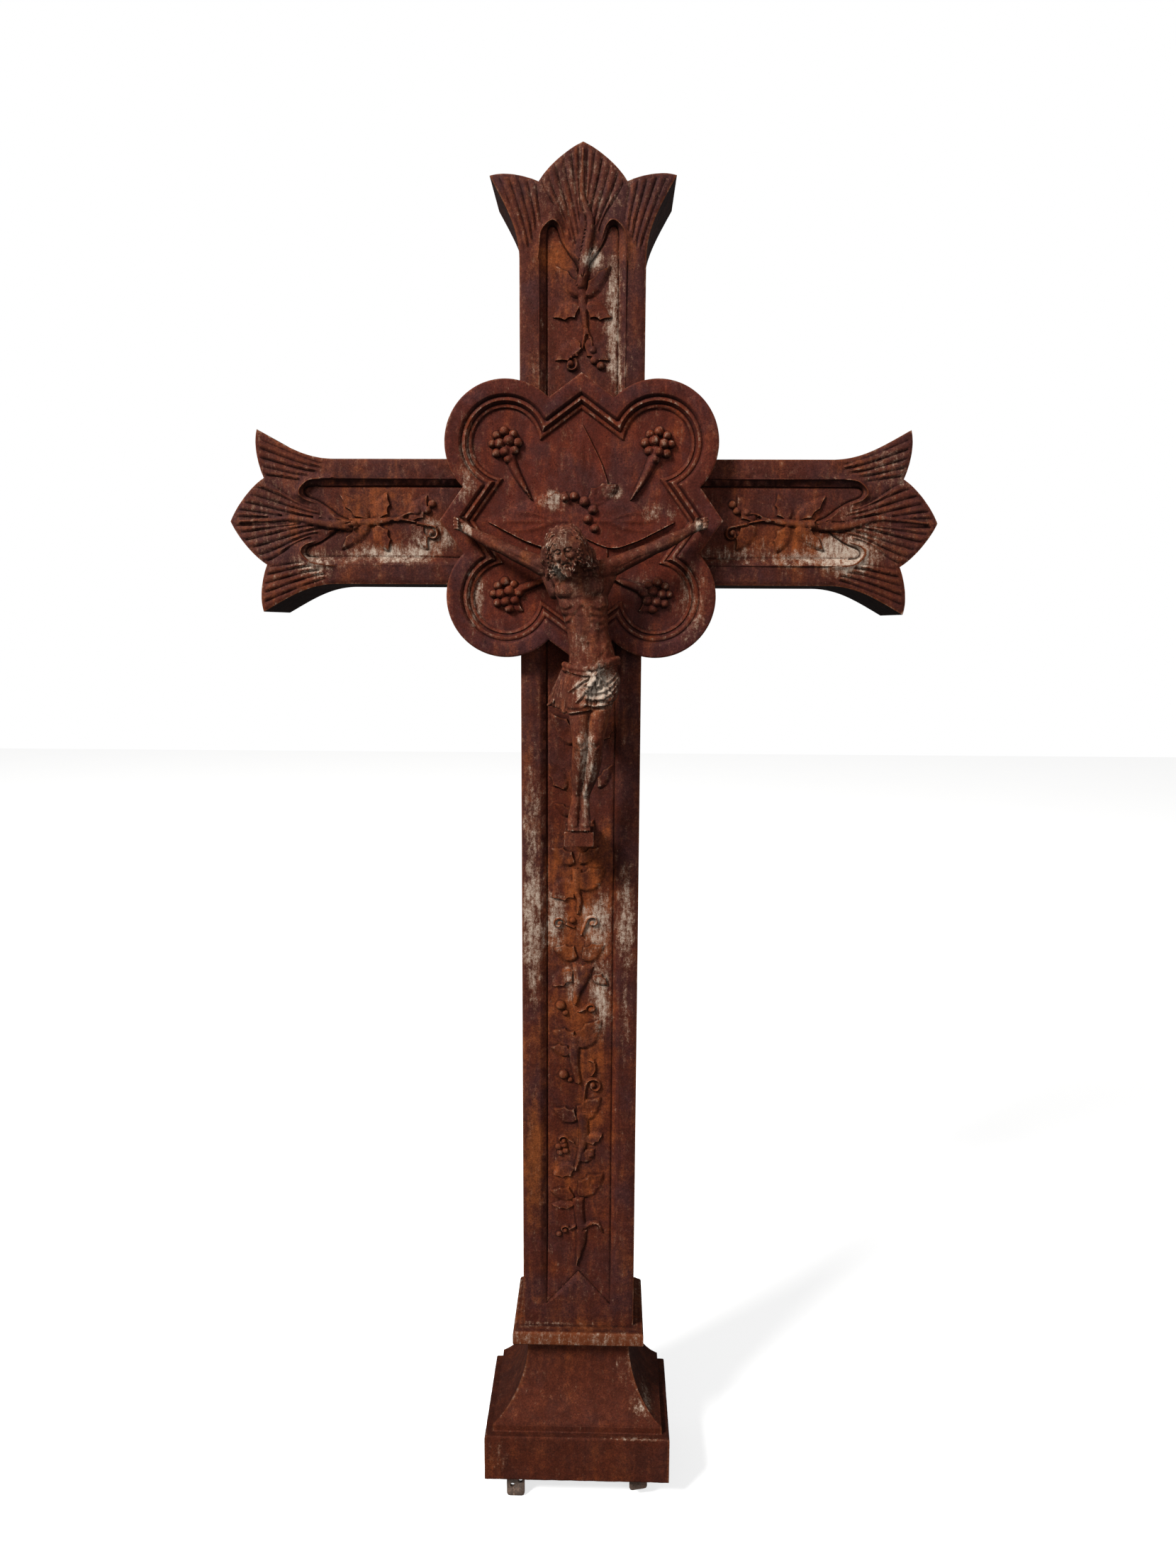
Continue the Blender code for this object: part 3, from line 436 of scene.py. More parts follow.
def shaft_panel_lines():
    top, foot = CENTRE_HEIGHT - GABLE_TOP, CENTRE_HEIGHT - GABLE_FOOT
    floor = [(PANEL_START, PANEL_HALF), (foot, PANEL_HALF), (top, 0.0), (foot, -PANEL_HALF),
             (PANEL_START, -PANEL_HALF)]
    out = PANEL_HALF + BEVEL_WIDTH
    bevel = [(PANEL_START - 0.004, out), (foot + BEVEL_WIDTH, out), (top + 0.01, 0.0),
             (foot + BEVEL_WIDTH, -out), (PANEL_START - 0.004, -out)]
    return even(np.array(floor), MEDIUM), even(np.array(bevel), MEDIUM)


def palmette_rays():
    """The crests and the grooves that fan out over a finial, along and across."""
    crests, grooves = [], []
    leaf = (((0.338, 0.003), (0.401, 0.005)), ((0.322, 0.0034), (0.396, 0.013)),
            ((0.307, 0.0044), (0.3895, 0.0215)), ((0.299, 0.008), (0.382, 0.03)),
            ((0.303, 0.013), (0.3738, 0.0385)), ((0.311, 0.0182), (0.3665, 0.0455)))
    ear = (((0.32, 0.046), (0.365, 0.0515)), ((0.311, 0.0505), (0.3685, 0.061)),
           ((0.302, 0.055), (0.371, 0.0715)), ((0.294, 0.0592), (0.3722, 0.0825)),
           ((0.286, 0.0632), (0.3715, 0.093)))
    for side in (1, -1):
        for rows, lean in ((leaf, 0.16), (ear, 0.3)):
            for (reach, out), (tip_reach, tip_out) in rows:
                near = (reach + 0.02, out + 0.0012)
                far = (tip_reach - 0.022, tip_out - lean * (tip_out - out))
                grooves.append(bezier((reach, out), near, far, (tip_reach, tip_out), 44) * [1, side])
            lines = grooves[-len(rows):]
            crests += [(a + b) / 2 for a, b in zip(lines[:-1], lines[1:])]
    return crests, grooves


def arm_vine(place, number):
    """The leaves, stem, hooked tendril and beads of an arm's short panel."""
    side = (1, -1, -1)[number]
    stem = place(smooth_line([(0.268, -0.001 * side), (0.238, 0.0), (0.212, 0.003 * side), (0.19, 0.0)]))
    items = [Stalk(stem, [0.0056, 0.005, 0.0036, 0.0014], VINE)]
    leaves = ((0.243, 0.005, 0.278, 0.032, 0.018, 1.0, -1), (0.238, 0.004, 0.223, 0.034, 0.021, 0.9, 1),
              (0.199, 0.003, 0.177, 0.032, 0.022, 0.8, 1))
    for turn in (1, -1):
        for reach, out, tip_reach, tip_out, width, share, lean in leaves:
            base, tip = place([(reach, out * turn), (tip_reach, tip_out * turn)])
            items.append(lobed_leaf(base, tip, width, VINE * share, lean * turn))
    hook = [(0.212, 0.003 * side), (0.202, 0.0085 * side), (0.194, 0.0105 * side), (0.187, 0.0085 * side)]
    items.append(tendril(place(hook), 0.0024, 0.0016, VINE))
    for reach, out in ((0.188, 0.0118), (0.1772, 0.0135), (0.1715, 0.0205)):
        items.append(Berry(place([(reach, out * side)])[0], 0.0048, 0.0052))
    centre, root = place([(0.172, -0.013 * side), (0.19, -0.001 * side)])
    return items + spiral(centre, 0.0085, 0.5 * math.pi, 0.95, side, root)


def shaft_vine():
    """The climbing vine of the shaft: its stems, leaves, curls, tails and beads."""
    stems = [([(-0.004, 0.779), (-0.004, 0.752), (-0.001, 0.74), (-0.003, 0.723)],
              (0.0062, 0.0046, 0.0026)),
             ([(0.004, 0.66), (0.001, 0.64), (-0.004, 0.623), (-0.0055, 0.61)],
              (0.014, 0.01, 0.0052, 0.003)),
             ([(-0.006, 0.57), (-0.0065, 0.542), (-0.005, 0.526), (-0.001, 0.508)],
              (0.0085, 0.0064, 0.005, 0.0045)),
             ([(0.003, 0.47), (0.006, 0.442), (0.0015, 0.415), (-0.0045, 0.393)],
              (0.007, 0.0062, 0.0045, 0.0022)),
             ([(-0.001, 0.356), (0.0, 0.34), (0.002, 0.324), (0.004, 0.312)],
              (0.008, 0.0066, 0.006, 0.0062)),
             ([(0.0035, 0.313), (0.003, 0.296), (0.0, 0.28), (-0.003, 0.264)],
              (0.0074, 0.006, 0.0042, 0.001)),
             ([(0.004, 0.99), (0.001, 0.95), (-0.003, 0.905), (-0.001, 0.86)],
              (0.005, 0.006, 0.0052, 0.004))]
    items = [Stalk(smooth_line(line), widths, VINE * 1.1) for line, widths in stems]
    leaves = [(-0.008, 0.783, -0.036, 0.804, 0.022, -1), (-0.001, 0.784, 0.024, 0.806, 0.018, 1),
              (-0.008, 0.764, -0.036, 0.744, 0.03, 1), (0.001, 0.752, 0.03, 0.78, 0.031, 1),
              (-0.004, 0.666, -0.032, 0.68, 0.024, -1), (0.004, 0.664, 0.03, 0.685, 0.024, 1),
              (-0.01, 0.656, -0.035, 0.632, 0.022, 1), (0.015, 0.645, 0.035, 0.633, 0.016, 1),
              (-0.007, 0.556, -0.034, 0.576, 0.026, -1), (0.001, 0.552, 0.027, 0.59, 0.03, 1),
              (-0.01, 0.544, -0.037, 0.554, 0.018, -1), (0.0, 0.456, 0.028, 0.49, 0.028, 1),
              (-0.004, 0.456, -0.033, 0.474, 0.024, -1), (0.006, 0.433, 0.03, 0.442, 0.017, -1),
              (0.004, 0.402, 0.02, 0.422, 0.018, 1), (-0.006, 0.4, -0.034, 0.387, 0.021, 1),
              (0.001, 0.356, 0.032, 0.388, 0.03, 1), (-0.006, 0.354, -0.037, 0.364, 0.022, -1),
              (-0.005, 0.348, -0.036, 0.346, 0.012, 1), (-0.009, 0.928, -0.035, 0.965, 0.026, -1),
              (-0.016, 0.876, -0.038, 0.908, 0.02, 1), (-0.012, 0.842, -0.031, 0.859, 0.014, -1),
              (0.022, 0.876, 0.038, 0.906, 0.015, 1), (0.023, 0.935, 0.0385, 0.956, 0.014, -1)]
    for x, z, tip_x, tip_z, width, side in leaves:
        items.append(lobed_leaf((x, z), (tip_x, tip_z), width, VINE, side))
    curls = [((-0.026, 0.711), 0.008, 0.0, 1.05, 1, (-0.006, 0.706), 0.0022),
             ((0.016, 0.713), 0.0085, math.pi, 0.85, -1, (0.001, 0.696), 0.0026),
             ((0.0145, 0.604), 0.007, math.pi, 0.8, -1, (-0.001, 0.6), 0.0026),
             ((0.0185, 0.504), 0.011, math.pi, 1.1, -1, (0.005, 0.48), 0.0026),
             ((-0.0205, 0.432), 0.007, 0.3, 0.85, 1, (-0.006, 0.429), 0.0022),
             ((-0.018, 0.312), 0.0062, 0.2, 0.8, 1, (-0.004, 0.318), 0.0022)]
    for curl in curls:
        items += spiral(*curl, VINE)
    tails = [([(0.011, 0.5385), (0.0175, 0.5345), (0.019, 0.525), (0.015, 0.518)], 0.0028),
             ([(0.006, 0.315), (0.014, 0.321), (0.024, 0.3205), (0.03, 0.309)], 0.0034)]
    items += [tendril(line, thick, 0.0018, VINE) for line, thick in tails]
    beads = [(-0.0089, 0.7152, 0.0042), (-0.0233, 0.608, 0.0062), (-0.0175, 0.5985, 0.004),
             (-0.0197, 0.5188, 0.0064), (-0.0115, 0.512, 0.0036), (-0.0258, 0.4236, 0.0044),
             (-0.0188, 0.4262, 0.0044), (-0.024, 0.416, 0.0042), (-0.0168, 0.4182, 0.0042),
             (0.0145, 0.414, 0.0046), (-0.025, 0.306, 0.004)]
    return items + [Berry((x, z), radius, radius * 1.05) for x, z, radius in beads]


def fine_grid(low, high, spacing):
    rows = np.arange(low[1], high[1], spacing * 0.866)
    columns = np.arange(low[0], high[0], spacing)
    x, z = np.meshgrid(columns, rows)
    x = x + 0.5 * spacing * (np.arange(len(rows))[:, None] % 2)
    return np.stack([x.ravel(), z.ravel()], axis=1)


def clear_of(points, taken, distance):
    """The points that keep a distance from those already taken."""
    keys = {(int(a), int(b)) for a, b in np.floor(taken / distance)}
    cells = np.floor(points / distance).astype(int)
    keep = [not any((a + i, b + j) in keys for i in (-1, 0, 1) for j in (-1, 0, 1)) for a, b in cells]
    return points[np.array(keep, bool)]


def rib_half_width(along):
    return np.interp(along, [0.255, 0.29, 0.34, 0.4], [0.0054, 0.0042, 0.003, 0.0014])


class CrossFace:
    """The carved front of the cross."""

    def __init__(self):
        centre = (0.0, CENTRE_HEIGHT)
        self.outline = cross_outline()
        self.arms = [Place(centre, (1, 0)), Place(centre, (0, 1)), Place(centre, (-1, 0))]
        self.shaft = Place(centre, (0, -1))
        self.floor, self.bevel = panel_lines()
        self.shaft_floor, self.shaft_bevel = shaft_panel_lines()
        self.crests, self.grooves = palmette_rays()
        self.ribs = [smooth_line(rib) for rib in RIBS]
        self.motifs = shaft_vine()
        for number, arm in enumerate(self.arms):
            self.motifs += arm_vine(arm, number)
        top = FOOT_BLOCK_TOP + 0.002
        low = FOOT_BLOCK_TOP - FOOT_BLOCK_HEIGHT - 0.002
        self.pad = np.array([(-0.014, low), (0.014, low), (0.014, top), (-0.014, top)])

    def lines(self):
        chamfers = (HALF_SHAFT - EDGE_CHAMFER, HALF_SHAFT - EDGE_CHAMFER * 0.35)
        edges = [edge * side for side in (1, -1) for edge in chamfers]
        found = [even(closed(self.outline), MEDIUM)]
        for arm, rib in zip(self.arms, self.ribs):
            found += [arm(closed(self.floor)), arm(closed(self.bevel)), arm(rib)]
            found += [arm(line) for line in self.crests + self.grooves]
            found += [arm(spread(rib, share * rib_half_width(rib[:, 0]))) for share in (0.98, 0.6)]
            found += [even(arm([(PANEL_START, edge), (FLARE_START, edge)]), MEDIUM) for edge in edges]
        found += [self.shaft(closed(self.shaft_floor)), self.shaft(closed(self.shaft_bevel))]
        for loop in (self.shaft_floor, self.shaft_bevel):
            found += [self.shaft(line) for line in beside(closed(loop))]
        for loop in (even(self.floor, MEDIUM), even(self.bevel, MEDIUM)):
            found += [arm(line) for arm in self.arms for line in beside(loop)]
        for edge in edges:
            run = np.array([(edge, SHAFT_FOOT + 0.002), (edge, CENTRE_HEIGHT - PANEL_START)])
            found.append(even(run, MEDIUM))
        for motif in self.motifs:
            found += motif.lines()
        return found + [even(closed(self.pad), MEDIUM)]

    def grounds(self, lines):
        """Points between the lines: close together where there is carving."""
        taken = np.vstack(lines)
        low, high = self.outline.min(axis=0), self.outline.max(axis=0)
        points = fine_grid(low, high, FINE)
        carved = inside(self.shaft.local(points), self.shaft_floor * [1, 0.98])
        for arm in self.arms:
            local = arm.local(points)
            fan = (local[:, 0] > FAN_START) & inside(points, self.outline)
            carved |= inside(local, self.floor) | fan
        carved &= (np.abs(points[:, 0]) > 0.12) | (points[:, 1] > 1.3) | (points[:, 1] < 1.04)
        fine = clear_of(points[carved], taken, FINE * 0.55)
        wide = fine_grid(low, high, COARSE)
        wide = clear_of(wide[inside(wide, self.outline)], np.vstack([taken, fine]), COARSE * 0.45)
        return np.vstack([fine, wide])

    def finial(self, number, local, height, panel, to_bevel, arch, brim, rim):
        """The palmette at an arm's end and its midrib, over the height that the panel has there."""
        reach = local[:, 0]
        crest = np.min([nearest(local, line) for line in self.crests], axis=0)
        valley = np.min([nearest(local, line) for line in self.grooves], axis=0)
        share = valley / (crest + valley + SMALL)
        deep = np.minimum(0.0027, 0.9 * (crest + valley))
        deep *= 0.8 + 0.2 * np.sin(local[:, 1] * 400 + reach * 90 + number)
        wave = deep * (np.sin(share * math.pi / 2) ** 0.8 - 0.8)
        start = np.clip(to_bevel / (0.002 + 0.006 * arch), 0, 1)
        start = start * np.clip((reach - FAN_START) / 0.016, 0, 1)
        start = start * np.clip((rim - 0.0012) / 0.0045, 0.12, 1)
        hood = 0.0024 * np.exp(-(to_bevel / 0.0034) ** 2) * arch
        hood = hood + brim * np.exp(-(to_bevel / 0.012) ** 2)
        height = np.where((reach > FAN_START) & ~panel, wave * start + hood, height)
        midrib, half = nearest(local, self.ribs[number]), rib_half_width(reach)
        raised = np.where(midrib < half, 0.0024 * np.sqrt(np.clip(1 - (midrib / half) ** 2, 0, 1)), 0.0)
        ditch = -0.0014 * np.exp(-((midrib - half * 1.25) / 0.001) ** 2)
        ditch = ditch * np.clip((0.362 - reach) / 0.02, 0, 1)
        root = np.interp(reach, [0.25, 0.29], [-PANEL_DEPTH, -0.0008])
        return np.where(midrib < half, np.maximum(height, root + raised),
                        height + np.where(reach > 0.27, ditch, 0.0))

    def rise(self, points):
        """How far each point stands in front of the plain face; sunk places are negative."""
        whole, floored = np.zeros(len(points)), np.zeros(len(points), bool)
        rim = nearest(points, closed(self.outline), EDGE_CHAMFER * 1.2)
        panels = [(arm, self.floor, self.bevel) for arm in self.arms]
        panels.append((self.shaft, self.shaft_floor, self.shaft_bevel))
        for number, (place, floor, bevel) in enumerate(panels):
            on_arm = number < len(self.arms)
            here = within(place.local(points), (PANEL_START - 0.02, -0.12), (2.0, 0.12))
            local = place.local(points[here])
            to_floor, to_bevel = nearest(local, closed(floor)), nearest(local, closed(bevel))
            in_floor = inside(local, floor) | (to_floor < ON_LINE)
            in_bevel = inside(local, bevel) & ~in_floor & (to_bevel > ON_LINE)
            arch = np.clip((np.abs(local[:, 1]) - 0.02) / 0.01, 0, 1)
            brim = -0.0038 * (1 - arch) * np.clip((local[:, 0] - FAN_START) / 0.01, 0, 1) * on_arm
            slope = brim - (BEVEL_DEPTH + brim) * to_bevel / (to_bevel + to_floor + SMALL)
            groove = -0.0016 * np.clip(1 - to_floor / 0.0019, 0, 1)
            height = np.where(in_bevel, slope, np.where(in_floor, -PANEL_DEPTH + groove, whole[here]))
            if on_arm:
                height = self.finial(number, local, height, in_floor | in_bevel, to_bevel, arch, brim,
                                     rim[here])
            else:
                height = height * (1 - 0.6 * np.clip((local[:, 0] - 0.88) / 0.09, 0, 1))
            whole[here] = height
            floored[here] |= in_floor
        carved = np.zeros(len(points))
        for motif in self.motifs:
            carved = np.maximum(carved, motif.rise(points))
        height = whole + np.where(floored, carved, 0.0)
        to_pad = nearest(points, closed(self.pad))
        on_pad = inside(points, self.pad) | (to_pad < ON_LINE)
        height = np.where(on_pad, 0.0, np.maximum(height, -0.002 * to_pad / 0.001))
        edge = np.clip(1 - rim / EDGE_CHAMFER, 0, 1)
        return height - EDGE_DROP * edge ** 1.4


def quatrefoil(inset):
    """The barbed quatrefoil, moved in by an inset, as points around the medallion's centre."""
    run = np.array([math.cos(APEX_SLOPE), -math.sin(APEX_SLOPE)])
    apex = np.array([0.0, APEX_REACH - inset / math.cos(APEX_SLOPE)])
    lobe = np.array([LOBE_REACH, LOBE_REACH])
    radius = LOBE_RADIUS - inset
    away = apex - lobe
    middle = away @ run
    reach = -middle - math.sqrt(max(middle ** 2 - (away @ away - radius ** 2), 0.0))
    notch = apex + reach * run
    start = math.atan2(notch[1] - lobe[1], notch[0] - lobe[0])
    angles = np.linspace(start, math.pi / 2 - start, 64)
    arc = lobe + radius * np.stack([np.cos(angles), np.sin(angles)], axis=1)
    quarter = np.vstack([even(np.array([apex, notch]), 0.002)[:-1], arc])
    rest = even(np.array([arc[-1], [apex[1], apex[0]]]), 0.002)[1:-1]
    quarter = np.vstack([quarter, rest])
    turned = [quarter @ np.array([[math.cos(a), -math.sin(a)], [math.sin(a), math.cos(a)]])
              for a in (0, math.pi / 2, math.pi, 3 * math.pi / 2)]
    return np.vstack(turned)


class MedallionFace:
    """The carved front of the medallion, measured from its own centre."""

    def __init__(self):
        self.outline = quatrefoil(0.0)
        self.rings = [quatrefoil(inset) for inset, _ in RIM_STEPS]
        self.field = RIM_STEPS[-1][1]
        self.motifs = []
        for angle, crisp, high in ((0, -1, 0.0062), (90, -1, 0.0036), (180, 1, 0.0062), (270, 1, 0.003)):
            heading = np.array([math.cos(math.radians(angle)), math.sin(math.radians(angle))])
            star = smooth_line([(-0.012, 0.012), (0.03, 0.03), (0.058, 0.025), (0.084, 0.013),
                                (0.109, 0.0)],
                               0.003)
            place = Place((0, 0), heading)
            ribs = [place(even(np.array([(0.014, 0.0), (0.102, 0.0)])))]
            for turn in (1, -1):
                ribs.append(place(smooth_line([(0.03, 0.0), (0.052, 0.008 * turn),
                                               (0.074, 0.0105 * turn)])))
            back = np.array([(-0.012, 0.012 * crisp), (-0.012, -0.012 * crisp)])
            soft_side = np.vstack([even(back), (star * [1, -crisp])[1:]])
            self.motifs.append(Leaf(place(star * [1, crisp]), place(soft_side), ribs, high, 0.012))
        for right in (1, -1):
            for up in (1, -1):
                self.motifs += self.cluster(np.array([LOBE_REACH * right, (LOBE_REACH - 0.002) * up]),
                                            right, up)
        for x, z, radius in ((-0.018, 0.025, 0.005), (-0.008, 0.027, 0.0056), (0.0035, 0.0215, 0.0064),
                             (0.0075, 0.002, 0.0058), (0.013, 0.0125, 0.006), (0.015, -0.008, 0.0056)):
            self.motifs.append(Berry((x, z), radius, 0.0092))
        for base, tip, width, high, side in (((0.008, 0.016), (0.042, 0.04), 0.026, 0.0052, 1),
                                             ((0.016, 0.002), (0.048, -0.02), 0.024, 0.004, -1),
                                             ((-0.01, 0.018), (-0.042, 0.026), 0.022, 0.004, -1)):
            self.motifs.append(lobed_leaf(base, tip, width, high, side))

    def cluster(self, centre, right, up):
        """A bunch of grapes with a tapering stalk to the middle, and a leaf on the lower ones."""
        end = np.array([0.056 * right, 0.024]) if up > 0 else np.array([0.03 * right, -0.062])
        stalk = smooth_line([centre, centre + (end - centre) * 0.5 + [0.003 * right, 0.0], end])
        items = [Stalk(stalk, [0.0062, 0.0056, 0.0042, 0.0014], 0.0056)]
        grapes = ((-0.0085, 0.0125, 0.9), (0.002, 0.016, 1.0), (0.011, 0.011, 0.9), (-0.014, 0.003, 1.0),
                  (-0.0035, 0.005, 1.15), (0.0075, 0.0015, 1.1), (0.016, 0.0015, 0.85),
                  (-0.0095, -0.006, 1.0), (0.0015, -0.0075, 1.1), (0.011, -0.009, 0.95),
                  (-0.003, -0.0155, 1.0))
        for x, z, size in grapes:
            high = 0.01 if abs(x) + abs(z) < 0.0125 else 0.0076
            items.append(Berry(centre + np.array([x * right, z]) * 0.95, GRAPE_RADIUS * size, high))
        if up < 0:
            items.append(lobed_leaf(centre + [0.014 * right, -0.004], centre + [-0.02 * right, -0.019],
                                    0.02, 0.0034, -right, 4))
        return items

    def lines(self):
        found = [closed(ring) for ring in self.rings]
        for motif in self.motifs:
            found += motif.lines()
        return found

    def grounds(self, lines):
        taken = np.vstack(lines)
        low, high = self.outline.min(axis=0), self.outline.max(axis=0)
        points = fine_grid(low, high, FINE * 0.93)
        fine = clear_of(points[inside(points, self.rings[-1])], taken, FINE * 0.5)
        wide = fine_grid(low, high, MEDIUM)
        wide = clear_of(wide[inside(wide, self.outline)], np.vstack([taken, fine]), 0.0016)
        return np.vstack([fine, wide])

    def rise(self, points):
        height = np.full(len(points), self.field)
        for number in range(len(self.rings) - 1, 0, -1):
            outer, inner = closed(self.rings[number - 1]), closed(self.rings[number])
            high, low = RIM_STEPS[number - 1][1], RIM_STEPS[number][1]
            to_outer, to_inner = nearest(points, outer), nearest(points, inner)
            between = ~inside(points, self.rings[number]) | (to_inner < ON_LINE)
            height = np.where(between, high + (low - high) * to_outer / (to_outer + to_inner + SMALL),
                              height)
        on_field = inside(points, self.rings[-1])
        for motif in self.motifs:
            height = np.maximum(height, np.where(on_field, self.field + motif.rise(points), -1.0))
        return height


def carved_block(name, face, centre, front, back, wear):
    """A closed piece: the carved face in front, straight walls, a flat back."""
    lines = face.lines()
    points, edges = [], []
    for line in lines:
        first = len(points)
        points += [Vector(p) for p in line]
        edges += [(first + i, first + i + 1) for i in range(len(line) - 1)]
    points += [Vector(p) for p in face.grounds(lines)]
    found, _, triangles, _, _, _ = geometry.delaunay_2d_cdt(points, edges, [], 0, 1.2e-4)
    flat = np.array([(p.x, p.y) for p in found])
    corners = flat[np.array(triangles)]
    keep = inside(corners.mean(axis=1), face.outline)
    height = face.rise(flat)
    worn = np.stack([flat[:, 0], flat[:, 1], np.zeros(len(flat))], axis=1)
    height += wear * roughness_of(worn, 0.01) + wear * 0.6 * roughness_of(worn, 0.0035, 7.0)
    mesh = bmesh.new()
    made = []
    for (x, z), h in zip(flat, height):
        made.append(mesh.verts.new((x + centre[0], front - h, z + centre[1])))
    for triangle, wanted in zip(triangles, keep):
        if wanted:
            mesh.faces.new([made[i] for i in triangle])
    bmesh.ops.delete(mesh, geom=[v for v in mesh.verts if not v.link_faces], context="VERTS")
    for row in range(3):
        rim = [e for e in mesh.edges if e.is_boundary]
        pushed = bmesh.ops.extrude_edge_only(mesh, edges=rim)["geom"]
        for vert in (v for v in pushed if isinstance(v, bmesh.types.BMVert)):
            vert.co.y = (vert.co.y + WALL_ROW, back - WALL_ROW, back)[row]
    bmesh.ops.holes_fill(mesh, edges=[e for e in mesh.edges if e.is_boundary], sides=0)
    return new_piece(name, finish_mesh(mesh))


def prism(name, outline, front, back):
    mesh = bmesh.new()
    face = mesh.faces.new([mesh.verts.new((x, front, z)) for x, z in outline])
    moved = bmesh.ops.extrude_face_region(mesh, geom=[face])["geom"]
    bmesh.ops.translate(mesh, verts=[v for v in moved if isinstance(v, bmesh.types.BMVert)],
                        vec=(0, back - front, 0))
    return new_piece(name, finish_mesh(mesh))


def stepped_solid(name, sections, back):
    """A plane drawn up through rectangular sections that are all flush at the back, as by hand."""
    height, half, front = sections[0]
    deselect()
    bpy.ops.mesh.primitive_plane_add(size=1.0, location=(0, (front + back) / 2, height))
    piece = bpy.context.active_object
    piece.name = name
    piece.scale = (2 * half, back - front, 1.0)
    bpy.ops.object.transform_apply(location=True, rotation=True, scale=True)
    bpy.ops.object.mode_set(mode="EDIT")
    bpy.ops.mesh.select_all(action="SELECT")
    for next_height, next_half, next_front in sections[1:]:
        bpy.ops.mesh.extrude_region_move(TRANSFORM_OT_translate={"value": (0, 0, next_height - height)})
        bpy.ops.transform.resize(value=(next_half / half, (back - next_front) / (back - front), 1.0),
                                 center_override=(0.0, back, next_height))
        height, half, front = next_height, next_half, next_front
    bpy.ops.mesh.select_all(action="SELECT")
    bpy.ops.mesh.normals_make_consistent(inside=False)
    bpy.ops.object.mode_set(mode="OBJECT")
    return piece


def make_cross():
    cross = carved_block("cross_casting", CrossFace(), (0.0, 0.0), FACE_Y, BACK_Y, 0.00022)
    half = HALF_SHAFT + SLAB_OVERHANG
    front = FACE_Y - SLAB_OVERHANG
    nose = SLAB_NOSE
    rows = [(SLAB_BOTTOM + nose * (1 - math.cos(t)), half - nose * (1 - math.sin(t)),
             front + nose * (1 - math.sin(t))) for t in np.linspace(0, math.pi / 2, 6)]
    top = SHAFT_FOOT - nose * 0.5
    rows += [(top - nose * (1 - math.sin(t)), half - nose * 1.4 * (1 - math.cos(t)),
              front + nose * 1.4 * (1 - math.cos(t))) for t in np.linspace(0, math.pi / 2, 6)]
    rows += [(SHAFT_FOOT, half - nose * 2.4, front + nose * 2.4)]
    cut_or_join(cross, stepped_solid("slab_form", rows, BACK_Y), "UNION")
    hollow_front = FACE_Y + PANEL_DEPTH + CROSS_WALL
    hollow = prism("hollow_form", hollow_outline(CROSS_WALL), hollow_front, BACK_Y + 0.02)
    cut_or_join(cross, hollow, "DIFFERENCE")
    return cross


def make_medallion():
    return carved_block("medallion_casting", MedallionFace(), (0.0, CENTRE_HEIGHT),
                        FACE_Y - MEDALLION_FRONT, FACE_Y - JOINT_GAP, 0.00018)


def plinth_sections(inset=0.0):
    """Height, half width and front of the plinth's outside, or of the hollow in it."""
    ledge_top = BLOCK_HEIGHT + LEDGE_HEIGHT
    neck_height = PLINTH_TOP - COLLAR_HEIGHT
    curve = []
    bend = 0.97
    for step in range(25):
        share = step / 24
        bow = (1 - math.sqrt(1 - (bend * (1 - share)) ** 2)) / (1 - math.sqrt(1 - bend ** 2))
        curve.append((ledge_top + (neck_height - ledge_top) * share,
                      NECK_HALF + (LEDGE_HALF - 0.0015 - NECK_HALF) * bow))
    if inset:
        rows = [(-0.02, BLOCK_WIDTH / 2), (BLOCK_HEIGHT - inset, BLOCK_WIDTH / 2)]
        rows += [(h - inset, half) for h, half in curve]
    else:
        soft = 0.0016
        rows = [(0.0, BLOCK_WIDTH / 2 - soft), (soft * 0.5, BLOCK_WIDTH / 2 - soft * 0.3),
                (soft * 1.3, BLOCK_WIDTH / 2), (BLOCK_HEIGHT - soft * 1.4, BLOCK_WIDTH / 2),
                (BLOCK_HEIGHT - soft * 0.4, BLOCK_WIDTH / 2 - soft * 0.3),
                (BLOCK_HEIGHT, BLOCK_WIDTH / 2 - soft), (BLOCK_HEIGHT + 0.0004, LEDGE_HALF + 0.0008),
                (BLOCK_HEIGHT + 0.0016, LEDGE_HALF), (ledge_top - 0.0012, LEDGE_HALF),
                (ledge_top - 0.0003, LEDGE_HALF - 0.0005)] + curve
        rows += [(neck_height + 0.0005, COLLAR_HALF - 0.0006), (neck_height + 0.0014, COLLAR_HALF),
                 (PLINTH_TOP - 0.0012, COLLAR_HALF), (PLINTH_TOP, COLLAR_HALF - 0.001)]
    return [(height, half - inset, FACE_Y - (half - HALF_SHAFT) + inset) for height, half in rows]


